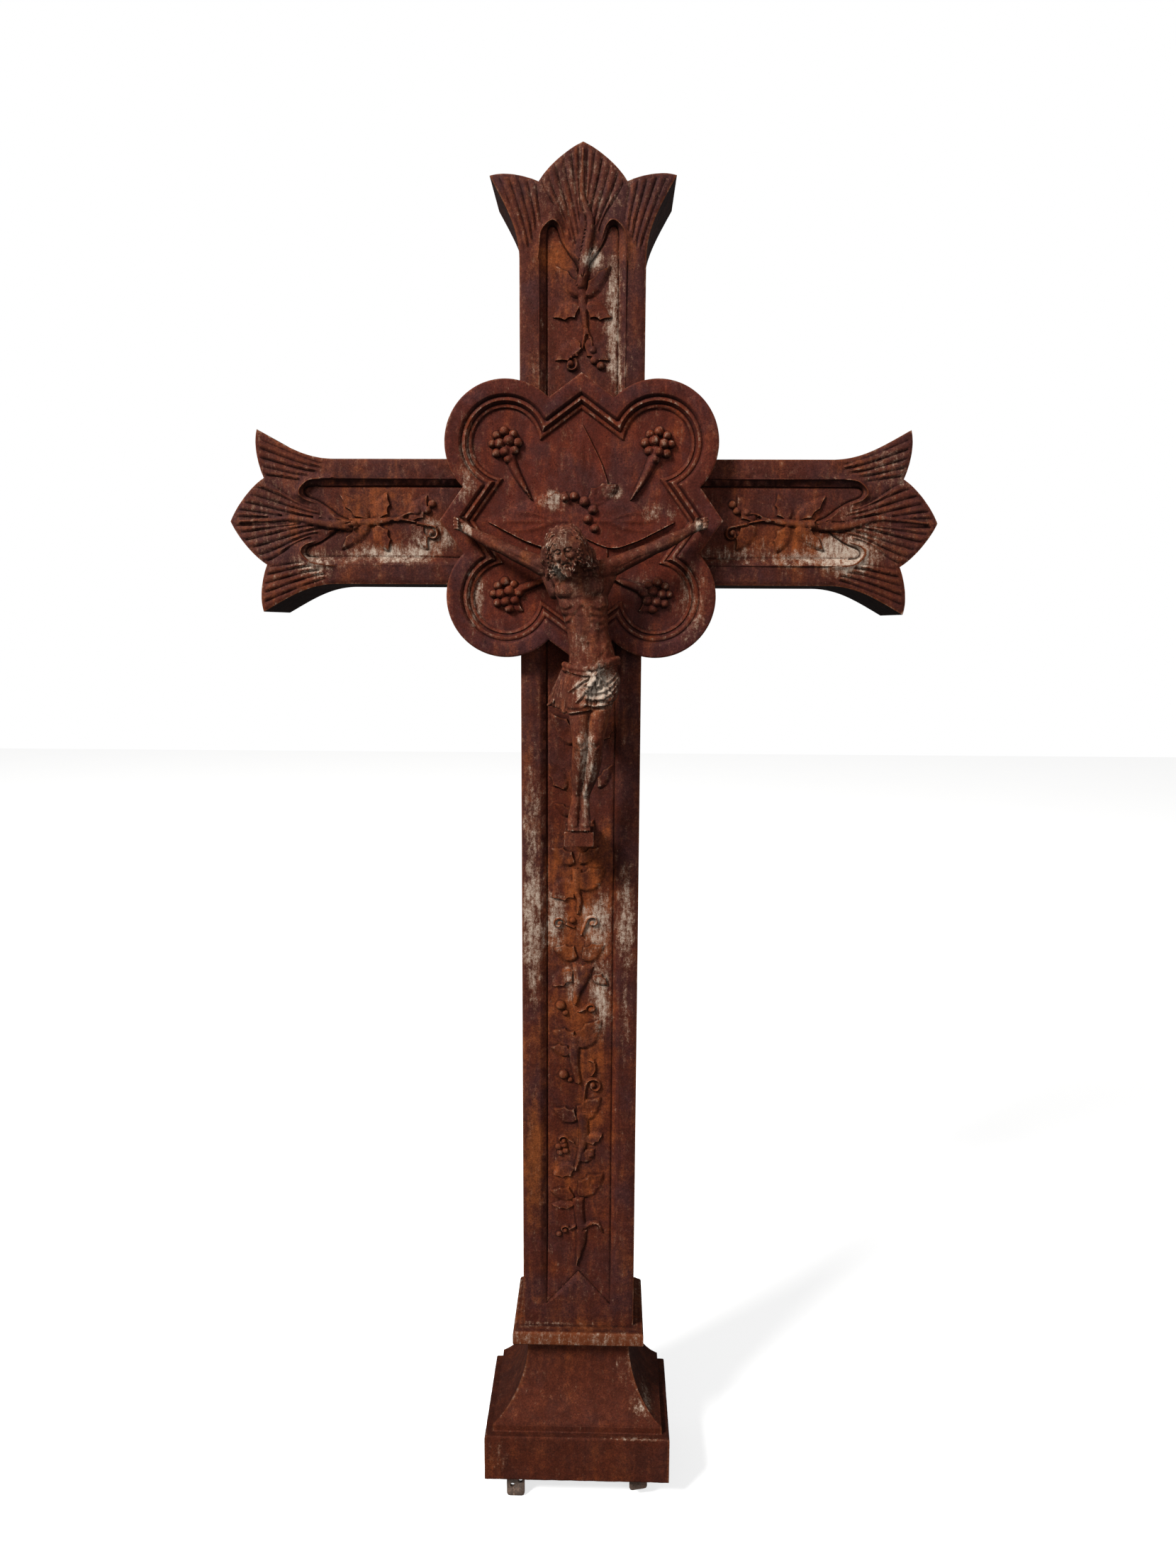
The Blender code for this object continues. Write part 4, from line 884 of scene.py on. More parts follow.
def make_plinth():
    plinth = stepped_solid("plinth_casting", plinth_sections(), BACK_Y)
    hollow = stepped_solid("plinth_hollow", plinth_sections(PLINTH_WALL), BACK_Y + 0.02)
    cut_or_join(plinth, hollow, "DIFFERENCE")
    corner = LEDGE_HALF - 0.02
    chips = [(-corner - 0.02, 0.104, 0.012), (-corner - 0.002, 0.128, 0.01),
             (-corner + 0.01, 0.143, 0.008)]
    for number, (x, height, size) in enumerate(chips):
        turns = np.linspace(0, 2 * math.pi, 13)[:-1]
        outline = [(x + size * (0.85 + 0.22 * math.sin(3 * t + number * 2)) * math.cos(t),
                    height + size * (0.95 + 0.25 * math.cos(4 * t + number)) * math.sin(t))
                   for t in turns]
        cut_or_join(plinth, prism("chip", outline, BACK_Y - size * 0.9, BACK_Y + 0.02), "DIFFERENCE")
    mesh = bmesh.new()
    mesh.from_mesh(plinth.data)
    bmesh.ops.triangulate(mesh, faces=mesh.faces)
    for _ in range(7):
        long_edges = [edge for edge in mesh.edges if edge.calc_length() > PLINTH_EDGE]
        if not long_edges:
            break
        bmesh.ops.subdivide_edges(mesh, edges=long_edges, cuts=1)
        bmesh.ops.triangulate(mesh, faces=[face for face in mesh.faces if len(face.verts) > 3])
    plinth.data = finish_mesh(mesh)
    places, out = positions(plinth), directions(plinth)
    lumps = 0.0003 * roughness_of(places, 0.012) + 0.00022 * roughness_of(places, 0.005, 3.0)
    low, high = places.min(axis=0), places.max(axis=0)
    move_to(plinth, np.clip(places + out * lumps[:, None], low, high))
    return plinth


def make_strap(name, middle, down, slant, holes):
    front = -BLOCK_OUT + FACE_Y + PLINTH_WALL + JOINT_GAP
    half, round_off = STRAP_WIDTH / 2, STRAP_WIDTH * 0.16
    outline = [(-half, STRAP_UP), (-half, -down + round_off),
               (-half + round_off * 0.3, -down + round_off * 0.3), (-half + round_off, -down),
               (half - round_off, -down + slant),
               (half - round_off * 0.3, -down + slant + round_off * 0.3),
               (half, -down + slant + round_off), (half, STRAP_UP)]
    strap = prism(name, [(x + middle, z) for x, z in outline], front, front + STRAP_THICKNESS)
    for x, z in holes:
        turns = np.linspace(0, 2 * math.pi, 25)[:-1]
        ring = [(middle + x + STRAP_HOLE / 2 * math.cos(t), z + STRAP_HOLE / 2 * math.sin(t))
                for t in turns]
        cut_or_join(strap, prism("strap_hole", ring, front - 0.01, front + STRAP_THICKNESS + 0.01),
                    "DIFFERENCE")
    soften = strap.modifiers.new("soft edges", "BEVEL")
    soften.width = 0.0007
    soften.segments = 2
    soften.limit_method = "ANGLE"
    apply_all(strap)
    return strap


def round_points(sides=12):
    rings = sides // 2
    turns = np.linspace(0, 2 * math.pi, sides + 1)[:-1]
    found = [(0, 0, 1), (0, 0, -1)]
    for tilt in np.linspace(0, math.pi, rings + 2)[1:-1]:
        found += [(math.sin(tilt) * math.cos(t), math.sin(tilt) * math.sin(t), math.cos(tilt))
                  for t in turns]
    return np.array(found)


ROUND = round_points()
FINE_ROUND = round_points(20)


def hull_of(mesh, points, turn=None):
    """Adds the closed skin round a cloud of points."""
    link = bmesh.new()
    for point in points:
        link.verts.new(point)
    hull = bmesh.ops.convex_hull(link, input=link.verts)
    inner = [v for v in hull["geom_interior"] if isinstance(v, bmesh.types.BMVert)]
    bmesh.ops.delete(link, geom=inner, context="VERTS")
    if turn:
        bmesh.ops.transform(link, verts=link.verts, matrix=turn)
    piece = finish_mesh(link)
    mesh.from_mesh(piece)
    bpy.data.meshes.remove(piece)


def ball(mesh, centre, radii, turn=None):
    placed = Matrix.Translation(Vector(centre)) @ (turn or Matrix.Identity(4))
    hull_of(mesh, FINE_ROUND * np.array(radii), placed)


def chain(mesh, stations, fine=False):
    """A chain of tapering links; each station is a place and a radius, or three radii."""
    shape = FINE_ROUND if fine else ROUND
    for (a, ra), (b, rb) in zip(stations[:-1], stations[1:]):
        hull_of(mesh, np.vstack([np.array(a) + shape * np.array(ra), np.array(b) + shape * np.array(rb)]))


def lock(start, over, side, end, radius, wave, phase, count=9):
    """A wavy lock of hair through four places."""
    a, b, c, d = (np.array(p) for p in (start, over, side, end))
    stations = []
    for i in range(count):
        t = i / (count - 1)
        p = a * (1 - t) ** 3 + 3 * b * t * (1 - t) ** 2 + 3 * c * t ** 2 * (1 - t) + d * t ** 3
        swing = wave * math.sin(phase + t * 12.0) * min(1.0, 2.5 * t)
        p = p + np.array([swing * 0.6, -abs(swing) * 0.5, swing])
        stations.append((p, radius * (1.0 - 0.4 * t)))
    return stations


HEAD = (-0.015, -0.079, 1.15)
HEAD_TURN = (Matrix.Translation(HEAD) @ Matrix.Rotation(math.radians(-12), 4, "Z")
             @ Matrix.Rotation(math.radians(-12), 4, "Y") @ Matrix.Rotation(math.radians(16), 4, "X"))


def torso(mesh):
    chain(mesh, [((-0.003, -0.048, 1.125), (0.027, 0.012, 0.008)),
                 ((0.0005, -0.051, 1.107), (0.03, 0.0195, 0.015)),
                 ((0.0052, -0.051, 1.085), (0.0258, 0.018, 0.012)),
                 ((0.009, -0.05, 1.06), (0.023, 0.0162, 0.012)),
                 ((0.0135, -0.05, 1.036), (0.0258, 0.0175, 0.014)),
                 ((0.0155, -0.049, 1.01), (0.0285, 0.0195, 0.015))],
          fine=True)
    for side in (-1, 1):
        ball(mesh, (-0.0005 + 0.0125 * side, -0.0615, 1.1085 + 0.001 * side), (0.015, 0.0098, 0.0125))
        ball(mesh, (0.004 + 0.016 * side, -0.054, 1.093), (0.0115, 0.0135, 0.017))
        ball(mesh, (0.009 + 0.0065 * side, -0.0575, 1.06), (0.009, 0.0098, 0.026))
        ball(mesh, (0.0135 + 0.0125 * side, -0.0535, 1.04), (0.009, 0.0115, 0.017))


def arms(mesh):
    for side, lift in ((-1, 0.0), (1, 0.0012)):
        x = -0.002 if side < 0 else -0.001
        line = ((0.027, -0.0475, 1.1275, 0.0115, 0.0112, 0.012),
                (0.039, -0.047, 1.132, 0.0103, 0.0102, 0.0108),
                (0.053, -0.046, 1.1385, 0.0092, 0.009, 0.0092),
                (0.069, -0.045, 1.1455, 0.0082, 0.0082, 0.0084),
                (0.083, -0.044, 1.152, 0.007, 0.0068, 0.007),
                (0.095, -0.0425, 1.1575, 0.0076, 0.0074, 0.0078),
                (0.108, -0.04, 1.164, 0.0064, 0.0064, 0.0066),
                (0.1205, -0.037, 1.1705, 0.005, 0.0048, 0.005),
                (0.127, -0.0355, 1.1745, 0.0054, 0.0042, 0.006))
        chain(mesh, [((x + out * side, y, z + lift), (rx, ry, rz)) for out, y, z, rx, ry, rz in line],
              fine=True)
        chain(mesh, [((x + 0.035 * side, -0.0455, 1.1255 + lift), 0.008),
                     ((x + 0.0265 * side, -0.0475, 1.106), (0.007, 0.011, 0.01))])
        ball(mesh, (x + 0.036 * side, -0.052, 1.1335 + lift), (0.0125, 0.0068, 0.0075),
             Matrix.Rotation(-0.45 * side, 4, "Y"))
        ball(mesh, (x + 0.06 * side, -0.049, 1.143 + lift), (0.013, 0.006, 0.0062),
             Matrix.Rotation(-0.45 * side, 4, "Y"))


def hands(mesh):
    for side, height in ((-1, 1.1775), (1, 1.179)):
        ball(mesh, (0.1315 * side, -0.0335, height), (0.0072, 0.0046, 0.0072))
        ball(mesh, (0.132 * side, -0.027, height), (0.005, 0.006, 0.005))
        ball(mesh, (0.1315 * side, -0.0385, height), (0.0022, 0.0018, 0.0022))
        for number in range(4):
            lift = (number - 1.5) * 0.0036
            reach = 0.0012 if number in (1, 2) else 0.0
            chain(mesh, [((0.1345 * side, -0.0345, height + 0.001 + lift), 0.0019),
                         (((0.1385 + reach) * side, -0.0368, height + 0.0022 + lift * 1.08), 0.0018),
                         (((0.139 + reach * 0.6) * side, -0.041, height + 0.0018 + lift), 0.0016),
                         (((0.1355 + reach * 0.3) * side, -0.0425, height + 0.0008 + lift * 0.9),
                          0.0014)])
        chain(mesh, [((0.128 * side, -0.035, height + 0.005), 0.0021),
                     ((0.13 * side, -0.0385, height + 0.0088), 0.0019),
                     ((0.1335 * side, -0.04, height + 0.0096), 0.0015)])


def head(mesh):
    chain(mesh, [((-0.0045, -0.052, 1.126), 0.0105), ((-0.0095, -0.064, 1.14), 0.0092)], fine=True)
    parts = bmesh.new()
    ball(parts, (0, 0.001, 0.004), (0.0148, 0.0175, 0.0168))
    ball(parts, (0, 0.003, 0.007), (0.0168, 0.019, 0.0145))
    ball(parts, (0, -0.0075, 0.0118), (0.012, 0.009, 0.0052))
    ball(parts, (0, -0.005, -0.008), (0.0115, 0.0122, 0.0128))
    ball(parts, (0, -0.0135, 0.0062), (0.0105, 0.0042, 0.007))
    chain(parts, [((-0.0085, -0.0142, 0.003), 0.0019), ((0.0, -0.017, 0.0036), 0.002),
                  ((0.0085, -0.0142, 0.003), 0.0019)])
    chain(parts, [((0, -0.0178, 0.001), 0.0014), ((0, -0.0222, -0.0066), 0.0022)])
    for side in (-1, 1):
        ball(parts, (0.002 * side, -0.02, -0.0078), (0.0016, 0.0018, 0.0014))
        ball(parts, (0.0056 * side, -0.0148, -0.0003), (0.0032, 0.0024, 0.0022))
        ball(parts, (0.0072 * side, -0.0128, -0.0066), (0.0046, 0.0044, 0.0048))
        chain(parts, [((0.0006 * side, -0.0196, -0.0102), 0.0014),
                      ((0.0042 * side, -0.0174, -0.0118), 0.0014),
                      ((0.0064 * side, -0.014, -0.0165), 0.0012)])
        tufts = ((0.0016, -0.027, 0.0028), (0.0044, -0.025, 0.0027), (0.007, -0.021, 0.0026),
                 (0.0092, -0.016, 0.0025))
        for row, (out, low, thick) in enumerate(tufts):
            chain(parts, [((out * 1.05 * side, -0.0135 + 0.001 * row, low + 0.0085), thick * 1.2),
                          ((out * 1.15 * side, -0.0165 + 0.0012 * row, low + 0.004), thick),
                          ((out * 0.85 * side, -0.0172 + 0.0014 * row, low), thick * 0.55)])
    ball(parts, (0, -0.0178, -0.0126), (0.003, 0.002, 0.0011))
    ball(parts, (0, -0.0172, -0.015), (0.0026, 0.002, 0.0013))
    ball(parts, (0, -0.0125, -0.019), (0.007, 0.0062, 0.006))
    for side in (-1, 1):
        for number in range(9):
            back = number / 8
            start = (0.0006 * side, -0.01 + 0.022 * back, 0.0185 + 0.003 * math.sin(math.pi * back))
            over = (0.0125 * side, -0.011 + 0.026 * back, 0.0215)
            low = (0.0255 * side, -0.0105 + 0.022 * back, 0.005)
            end = (0.02 * side + 0.002 * math.sin(number * 2.1), -0.006 + 0.015 * back,
                   -0.02 - 0.003 * math.cos(number * 1.7))
            chain(parts, lock(start, over, low, end, 0.0031, 0.0024, number * 1.3 + side, 11))
        chain(parts, [((0.0125 * side, -0.0125, 0.0085), 0.0048),
                      ((0.0155 * side, -0.012, 0.001), 0.0052), ((0.0158 * side, -0.01, -0.008), 0.005),
                      ((0.015 * side, -0.007, -0.017), 0.005)])
        for number in range(7):
            low = number / 6
            place = ((0.014 + 0.0018 * math.sin(number * 2.3)) * side, -0.0148 + 0.008 * low,
                     0.0085 - 0.026 * low)
            ball(parts, place, (0.0038, 0.0034, 0.0031), Matrix.Rotation(0.8 * (-1) ** number, 4, "Y"))
    for number in range(13):
        around = math.radians(-112 + number * 18.6)
        place = (0.0172 * math.sin(around), -0.0172 * math.cos(around) + 0.001,
                 0.0102 + 0.0015 * math.cos(around * 3))
        ball(parts, place, (0.0036, 0.0032, 0.0027), Matrix.Rotation(0.7 * (-1) ** number, 4, "Y"))
    for row in range(4):
        tilt = math.radians(20 + 19 * row)
        for number in range(10 - 2 * row):
            around = math.radians(-105 + 210 * (number + 0.5) / (10 - 2 * row))
            place = (0.0182 * math.cos(tilt) * math.sin(around),
                     0.003 - 0.0188 * math.cos(tilt) * math.cos(around), 0.0075 + 0.015 * math.sin(tilt))
            ball(parts, place, (0.0042, 0.0036, 0.0031),
                 Matrix.Rotation(0.8 * (-1) ** (number + row), 4, "Y"))
    bmesh.ops.transform(parts, verts=parts.verts, matrix=HEAD_TURN)
    piece = finish_mesh(parts)
    mesh.from_mesh(piece)
    bpy.data.meshes.remove(piece)
    for number in range(6):
        drift = number * 0.0028
        chain(mesh, lock((-0.0385 + drift, -0.072, 1.15), (-0.043 + drift, -0.07, 1.139),
                         (-0.036 + drift, -0.068, 1.131),
                         (-0.034 + drift, -0.063, 1.118 - 0.001 * number), 0.0029, 0.0018, number * 1.9))
        chain(mesh, lock((0.0 + drift * 0.8, -0.069, 1.15), (0.006 + drift * 0.8, -0.067, 1.142),
                         (0.006 + drift, -0.064, 1.134), (0.0085 + drift * 0.8, -0.0585, 1.123), 0.0029,
                         0.0018, number * 2.3 + 1))


def cloth(mesh):
    ball(mesh, (0.015, -0.05, 1.009), (0.0305, 0.0222, 0.02))
    chain(mesh, [((0.004, -0.053, 1.008), (0.02, 0.0205, 0.015)),
                 ((0.002, -0.0575, 0.988), (0.017, 0.018, 0.01)),
                 ((0.001, -0.059, 0.98), (0.0155, 0.0168, 0.008))],
          fine=True)
    chain(mesh, [((0.027, -0.052, 1.008), (0.019, 0.0195, 0.015)),
                 ((0.026, -0.057, 0.998), (0.018, 0.0178, 0.011)),
                 ((0.0255, -0.0585, 0.99), (0.0165, 0.0165, 0.008))],
          fine=True)
    band = [(-0.017, -0.052, 1.0235), (-0.008, -0.0655, 1.0205), (0.006, -0.0715, 1.0185),
            (0.018, -0.073, 1.021), (0.032, -0.066, 1.026), (0.042, -0.051, 1.03)]
    for shift, radius in ((0.0015, 0.0036), (-0.004, 0.0032)):
        chain(mesh, [((x, y, z + shift), radius) for x, y, z in band])
    for number in range(6):
        out = number * 0.0037
        sway = 0.0012 * math.sin(number * 2.0)
        fold = 0.0013 * (-1) ** number
        bottom = 0.974 + 0.0016 * number + 0.002 * math.cos(number * 2.6)
        chain(mesh, [((-0.009 - out * 0.45, -0.058 + out * 0.8, 1.02), 0.0032),
                     ((-0.012 - out * 0.62, -0.062 + out * 0.9 + fold, 1.006), 0.003),
                     ((-0.013 - out * 0.85 + sway, -0.062 + out * 1.0 + fold, 0.991), 0.003),
                     ((-0.013 - out * 1.02, -0.06 + out * 1.0 + fold, bottom), 0.0034)])
        chain(mesh, [((-0.0108 - out * 0.45, -0.0556 + out * 0.8, 1.018), 0.0026),
                     ((-0.0148 - out * 0.85, -0.0592 + out, 0.992), 0.0027),
                     ((-0.0148 - out * 1.0, -0.0575 + out, bottom + 0.002), 0.0026)])
    chain(mesh, [((-0.029, -0.047, 0.985), 0.0028), ((-0.034, -0.044, 0.98), 0.0024),
                 ((-0.036, -0.042, 0.979), 0.0016)])
    for place, radii, angle in (((0.015, -0.0775, 1.0225), (0.0062, 0.004, 0.0046), 0.35),
                                ((0.024, -0.0765, 1.0255), (0.0054, 0.0036, 0.0042), -0.5),
                                ((0.0195, -0.0795, 1.024), (0.0024, 0.004, 0.005), 0.2)):
        ball(mesh, place, radii, Matrix.Rotation(angle, 4, "Y"))
    chain(mesh, [((0.0185, -0.077, 1.02), 0.0026), ((0.014, -0.0765, 1.009), 0.003),
                 ((0.011, -0.0752, 0.999), 0.0022)])
    chain(mesh, [((0.0205, -0.077, 1.02), 0.0024), ((0.0215, -0.0768, 1.01), 0.0027),
                 ((0.02, -0.0755, 1.001), 0.002)])


def legs(mesh):
    for hip, thigh, knee, knee_width in ((0.003, 0.0005, 0.0018, 0.0092),
                                         (0.0265, 0.0222, 0.0174, 0.0096)):
        chain(mesh, [((hip, -0.051, 1.005), 0.016), ((thigh, -0.059, 0.974), (0.013, 0.014, 0.014)),
                     ((knee * 0.6 + thigh * 0.4, -0.0635, 0.952), (0.0103, 0.0108, 0.01)),
                     ((knee, -0.065, 0.937), (knee_width, 0.0098, 0.0092))], fine=True)
        ball(mesh, (knee, -0.0722, 0.9425), (0.0058, 0.0045, 0.0068))
        ball(mesh, (knee, -0.07, 0.9345), (0.004, 0.0042, 0.004))
    chain(mesh, [((0.0018, -0.0648, 0.937), (0.0088, 0.0092, 0.009)),
                 ((0.0005, -0.0575, 0.918), (0.0092, 0.0102, 0.01)),
                 ((-0.0008, -0.052, 0.902), (0.0086, 0.0096, 0.01)),
                 ((-0.0022, -0.0475, 0.886), (0.0064, 0.0072, 0.008)),
                 ((-0.003, -0.0455, 0.875), 0.0052)],
          fine=True)
    chain(mesh, [((0.0174, -0.0648, 0.936), (0.0092, 0.0094, 0.009)),
                 ((0.0155, -0.058, 0.918), (0.01, 0.0106, 0.01)),
                 ((0.0125, -0.0525, 0.902), (0.0096, 0.0098, 0.01)),
                 ((0.008, -0.0485, 0.886), (0.0072, 0.0076, 0.008)), ((0.0055, -0.0465, 0.875), 0.0056)],
          fine=True)


def feet(mesh, top):
    for side, ankle in ((-1, -0.003), (1, 0.0055)):
        x = 0.0068 * side
        chain(mesh, [((ankle, -0.046, 0.874), 0.0056),
                     ((ankle * 0.4 + x * 0.6, -0.046, 0.86), (0.006, 0.0074, 0.007)),
                     ((x, -0.049, 0.85), (0.0062, 0.0064, 0.006)),
                     ((x, -0.0535, 0.8435), (0.0064, 0.0046, 0.0044))],
              fine=True)
        ball(mesh, (ankle + 0.0046 * side, -0.0465, 0.8745), (0.0024, 0.0028, 0.0028))
        ball(mesh, (ankle * 0.4 + x * 0.6, -0.0405, 0.856), (0.005, 0.006, 0.008))
        for number in range(5):
            across = (number - 2) * 0.0025
            size = 0.002 if (number - 2) * side < -1.5 else 0.0014
            chain(mesh, [((x + across * 0.85, -0.053, 0.8445), 0.002),
                         ((x + across, -0.0572 + abs(across) * 0.3, top + 0.0026), size)])


def body_marks():
    """Lines drawn on the body from the front: their places, width, and how far they rise or sink."""
    marks = [([(-0.003, 1.123), (-0.0012, 1.108), (0.0015, 1.095)], 0.0022, -0.0011),
             ([(-0.0015, 1.0975), (-0.012, 1.095), (-0.022, 1.099), (-0.028, 1.108)], 0.0022, -0.0013),
             ([(0.0025, 1.0975), (0.014, 1.0955), (0.024, 1.1), (0.029, 1.11)], 0.0022, -0.0013),
             ([(0.002, 1.092), (-0.008, 1.0815), (-0.0175, 1.069)], 0.0022, 0.001),
             ([(0.003, 1.092), (0.013, 1.0825), (0.024, 1.071)], 0.0022, 0.001),
             ([(0.001, 1.0865), (-0.007, 1.0765), (-0.014, 1.064)], 0.002, -0.001),
             ([(0.005, 1.0865), (0.013, 1.077), (0.022, 1.065)], 0.002, -0.001),
             ([(0.0035, 1.088), (0.0068, 1.07), (0.0098, 1.052), (0.012, 1.035)], 0.0015, -0.0009),
             ([(0.0098, 1.048), (0.01, 1.0462)], 0.0016, -0.0024),
             ([(0.007, 1.05), (0.01, 1.0515), (0.013, 1.05)], 0.0012, 0.0007),
             ([(-0.015, 1.043), (-0.007, 1.0345), (0.002, 1.027)], 0.002, -0.0012),
             ([(0.033, 1.047), (0.0265, 1.0375), (0.019, 1.029)], 0.002, -0.0012),
             ([(-0.0045, 1.126), (-0.016, 1.129), (-0.029, 1.131)], 0.0017, 0.0012),
             ([(0.0, 1.1265), (0.012, 1.1305), (0.025, 1.1335)], 0.0017, 0.0012),
             ([(-0.006, 1.1225), (-0.017, 1.125), (-0.028, 1.127)], 0.0017, -0.0008),
             ([(0.002, 1.123), (0.013, 1.1265), (0.024, 1.129)], 0.0017, -0.0008)]
    for side in (-1, 1):
        for number in range(4):
            drop, inner = number * 0.0078, 0.01 + 0.0012 * number
            places = [(0.0015 + inner * side, 1.0905 - drop), (0.0025 + 0.019 * side, 1.088 - drop),
                      (0.0025 + 0.0275 * side, 1.0915 - drop)]
            marks += [(places, 0.0017, 0.0009), ([(x, z - 0.0039) for x, z in places], 0.0015, -0.0008)]
        for height in (1.0765, 1.065, 1.054):
            marks.append(([(0.007 + 0.0015 * side, height), (0.007 + 0.011 * side, height + 0.0015)],
                          0.0013, -0.0006))
        x = -0.002 if side < 0 else -0.001
        marks += [([(x + 0.04 * side, 1.1285), (x + 0.056 * side, 1.137), (x + 0.078 * side, 1.1475)],
                   0.0015, -0.0009),
                  ([(x + 0.046 * side, 1.144), (x + 0.051 * side, 1.1375)], 0.0014, -0.0009),
                  ([(x + 0.088 * side, 1.156), (x + 0.103 * side, 1.162), (x + 0.118 * side, 1.17)],
                   0.0013, -0.0007)]
    for knee, shin, ankle in ((0.0018, 0.0, -0.003), (0.0174, 0.0135, 0.0058)):
        marks += [([(knee - 0.005, 0.938), (knee, 0.9335), (knee + 0.005, 0.938)], 0.0013, -0.001),
                  ([(knee - 0.005, 0.947), (knee, 0.9515), (knee + 0.005, 0.947)], 0.0014, -0.0008),
                  ([(knee, 0.931), (shin, 0.904), (ankle, 0.878)], 0.0016, 0.0012),
                  ([(knee + 0.0045, 0.93), (shin + 0.0045, 0.904), (ankle + 0.003, 0.882)], 0.0015,
                   -0.0008),
                  ([(knee - 0.0045, 0.93), (shin - 0.0045, 0.904), (ankle - 0.003, 0.882)], 0.0015,
                   -0.0008)]
    marks.append(([(0.011, 0.968), (0.0092, 0.937), (0.0072, 0.91), (0.003, 0.885), (0.0012, 0.86)],
                  0.0015, -0.0014))
    for side, ankle in ((-1, -0.003), (1, 0.0055)):
        for number in range(4):
            across = (number - 1.5) * 0.0026
            toe = [(ankle * 0.7 + across * 0.4, 0.866), (0.0068 * side + across, 0.844)]
            marks.append((toe, 0.0008, 0.0006))
    return marks


def cloth_marks():
    """The folds and the hem of the loincloth."""
    marks = []
    fans = ((-0.011, 0.996), (-0.003, 0.985), (0.006, 0.98), (0.016, 0.98), (0.027, 0.986),
            (0.036, 0.992), (0.041, 1.001))
    for number, (x, z) in enumerate(fans):
        bend = 0.004 * math.sin(number * 1.9)
        line = [(0.019, 1.016), ((0.019 + x) / 2 + bend, (1.016 + z) / 2 + 0.002), (x, z)]
        marks += [(line, 0.0015, 0.0016), ([(a + 0.003, b - 0.0012) for a, b in line], 0.0013, -0.0013)]
    for number in range(4):
        drop = number * 0.0075
        line = [(0.043 - 0.001 * number, 1.019 - drop), (0.033, 1.008 - drop), (0.02, 1.003 - drop),
                (0.006, 1.005 - drop)]
        marks += [(line, 0.0014, 0.0013), ([(a, b - 0.0034) for a, b in line], 0.0013, -0.0012)]
    for number in range(6):
        out = number * 0.0031
        fold = [(-0.0105 - out * 0.6, 1.018), (-0.0135 - out * 0.9, 0.998), (-0.015 - out * 1.15, 0.977)]
        marks.append((fold, 0.001, -0.0008))
    hem = [(-0.0136, 0.9715), (0.0, 0.9745), (0.012, 0.977), (0.019, 0.98), (0.03, 0.9815),
           (0.043, 0.987)]
    marks += [(hem, 0.0014, 0.0016), ([(a, b - 0.0034) for a, b in hem], 0.0014, -0.0016),
              ([(-0.015, 1.016), (0.004, 1.0115), (0.017, 1.014), (0.042, 1.024)], 0.0014, -0.0018)]
    return marks


def head_marks():
    """Lids, mouth and the parting of beard and hair, in the head's own directions."""
    marks = [([(-0.003, -0.0138), (0.0, -0.0133), (0.003, -0.0138)], 0.0006, -0.001),
             ([(-0.0018, -0.017), (0.0018, -0.017)], 0.001, -0.0006),
             ([(0.0, 0.012), (0.0, 0.023)], 0.0009, -0.0012)]
    for side in (-1, 1):
        for row in range(7):
            for column in range(2):
                turns = np.linspace(0, 4.4, 8) + row * 1.9 + column
                curl = 0.0022 + 0.0003 * math.sin(row * 2.1 + column)
                x, z = (0.015 + 0.0056 * column) * side, 0.0115 - 0.0056 * row - 0.0024 * column
                marks.append(([(x + curl * math.cos(t) * side, z + curl * math.sin(t)) for t in turns],
                              0.0009, -0.0009))
        for row in range(5):
            marks.append(([(0.0012 * side, 0.0212 - 0.0012 * row), (0.01 * side, 0.0225 - 0.0036 * row),
                           (0.0185 * side, 0.013 - 0.0045 * row)], 0.0008, -0.001))
        marks += [([(0.0026 * side, -0.001), (0.0056 * side, -0.0022), (0.0086 * side, -0.0008)], 0.0006,
                   -0.0009),
                  ([(0.0022 * side, 0.0012), (0.0056 * side, 0.0024), (0.0092 * side, 0.0008)], 0.0008,
                   -0.0008),
                  ([(0.003 * side, -0.0078), (0.006 * side, -0.011), (0.0072 * side, -0.015)], 0.001,
                   -0.0007)]
        for number in range(4):
            out = 0.0018 + 0.0026 * number
            marks.append(([(out * side, -0.0175 + 0.0012 * number),
                           (out * 1.15 * side, -0.0215 + 0.0014 * number),
                           (out * 0.8 * side, -0.0262 + 0.002 * number)],
                          0.0006, -0.0009))
    return marks


def carve(places, out, marks, turn=None, gain=1.0):
    """Raises or sinks a surface along lines that are drawn on it from the front."""
    spin = np.array(turn or Matrix.Identity(4))
    local = (places - spin[:3, 3]) @ spin[:3, :3]
    facing = np.clip(-1.7 * (out @ spin[:3, :3])[:, 1], 0, 1)
    push = np.zeros(len(places))
    for line, width, lift in marks:
        away = nearest(local[:, [0, 2]], smooth_line(line, 0.002), 2.2 * width)
        push += np.where(away < 2.19 * width, gain * lift * np.exp(-(away / width) ** 2), 0.0)
    return places + out * (push * facing)[:, None]


def figure_form(top, height, half, front):
    mesh = bmesh.new()
    torso(mesh)
    arms(mesh)
    hands(mesh)
    head(mesh)
    legs(mesh)
    cloth(mesh)
    feet(mesh, top)
    block = bmesh.new()
    bmesh.ops.create_cube(block, size=1.0)
    size = Vector((2 * half, front - 0.001, height))
    middle = Vector((0, -(front + 0.001) / 2, top - height / 2))
    bmesh.ops.transform(block, verts=block.verts,
                        matrix=Matrix.Translation(middle) @ Matrix.Diagonal((*size, 1)))
    piece = finish_mesh(block)
    mesh.from_mesh(piece)
    bpy.data.meshes.remove(piece)
    return mesh


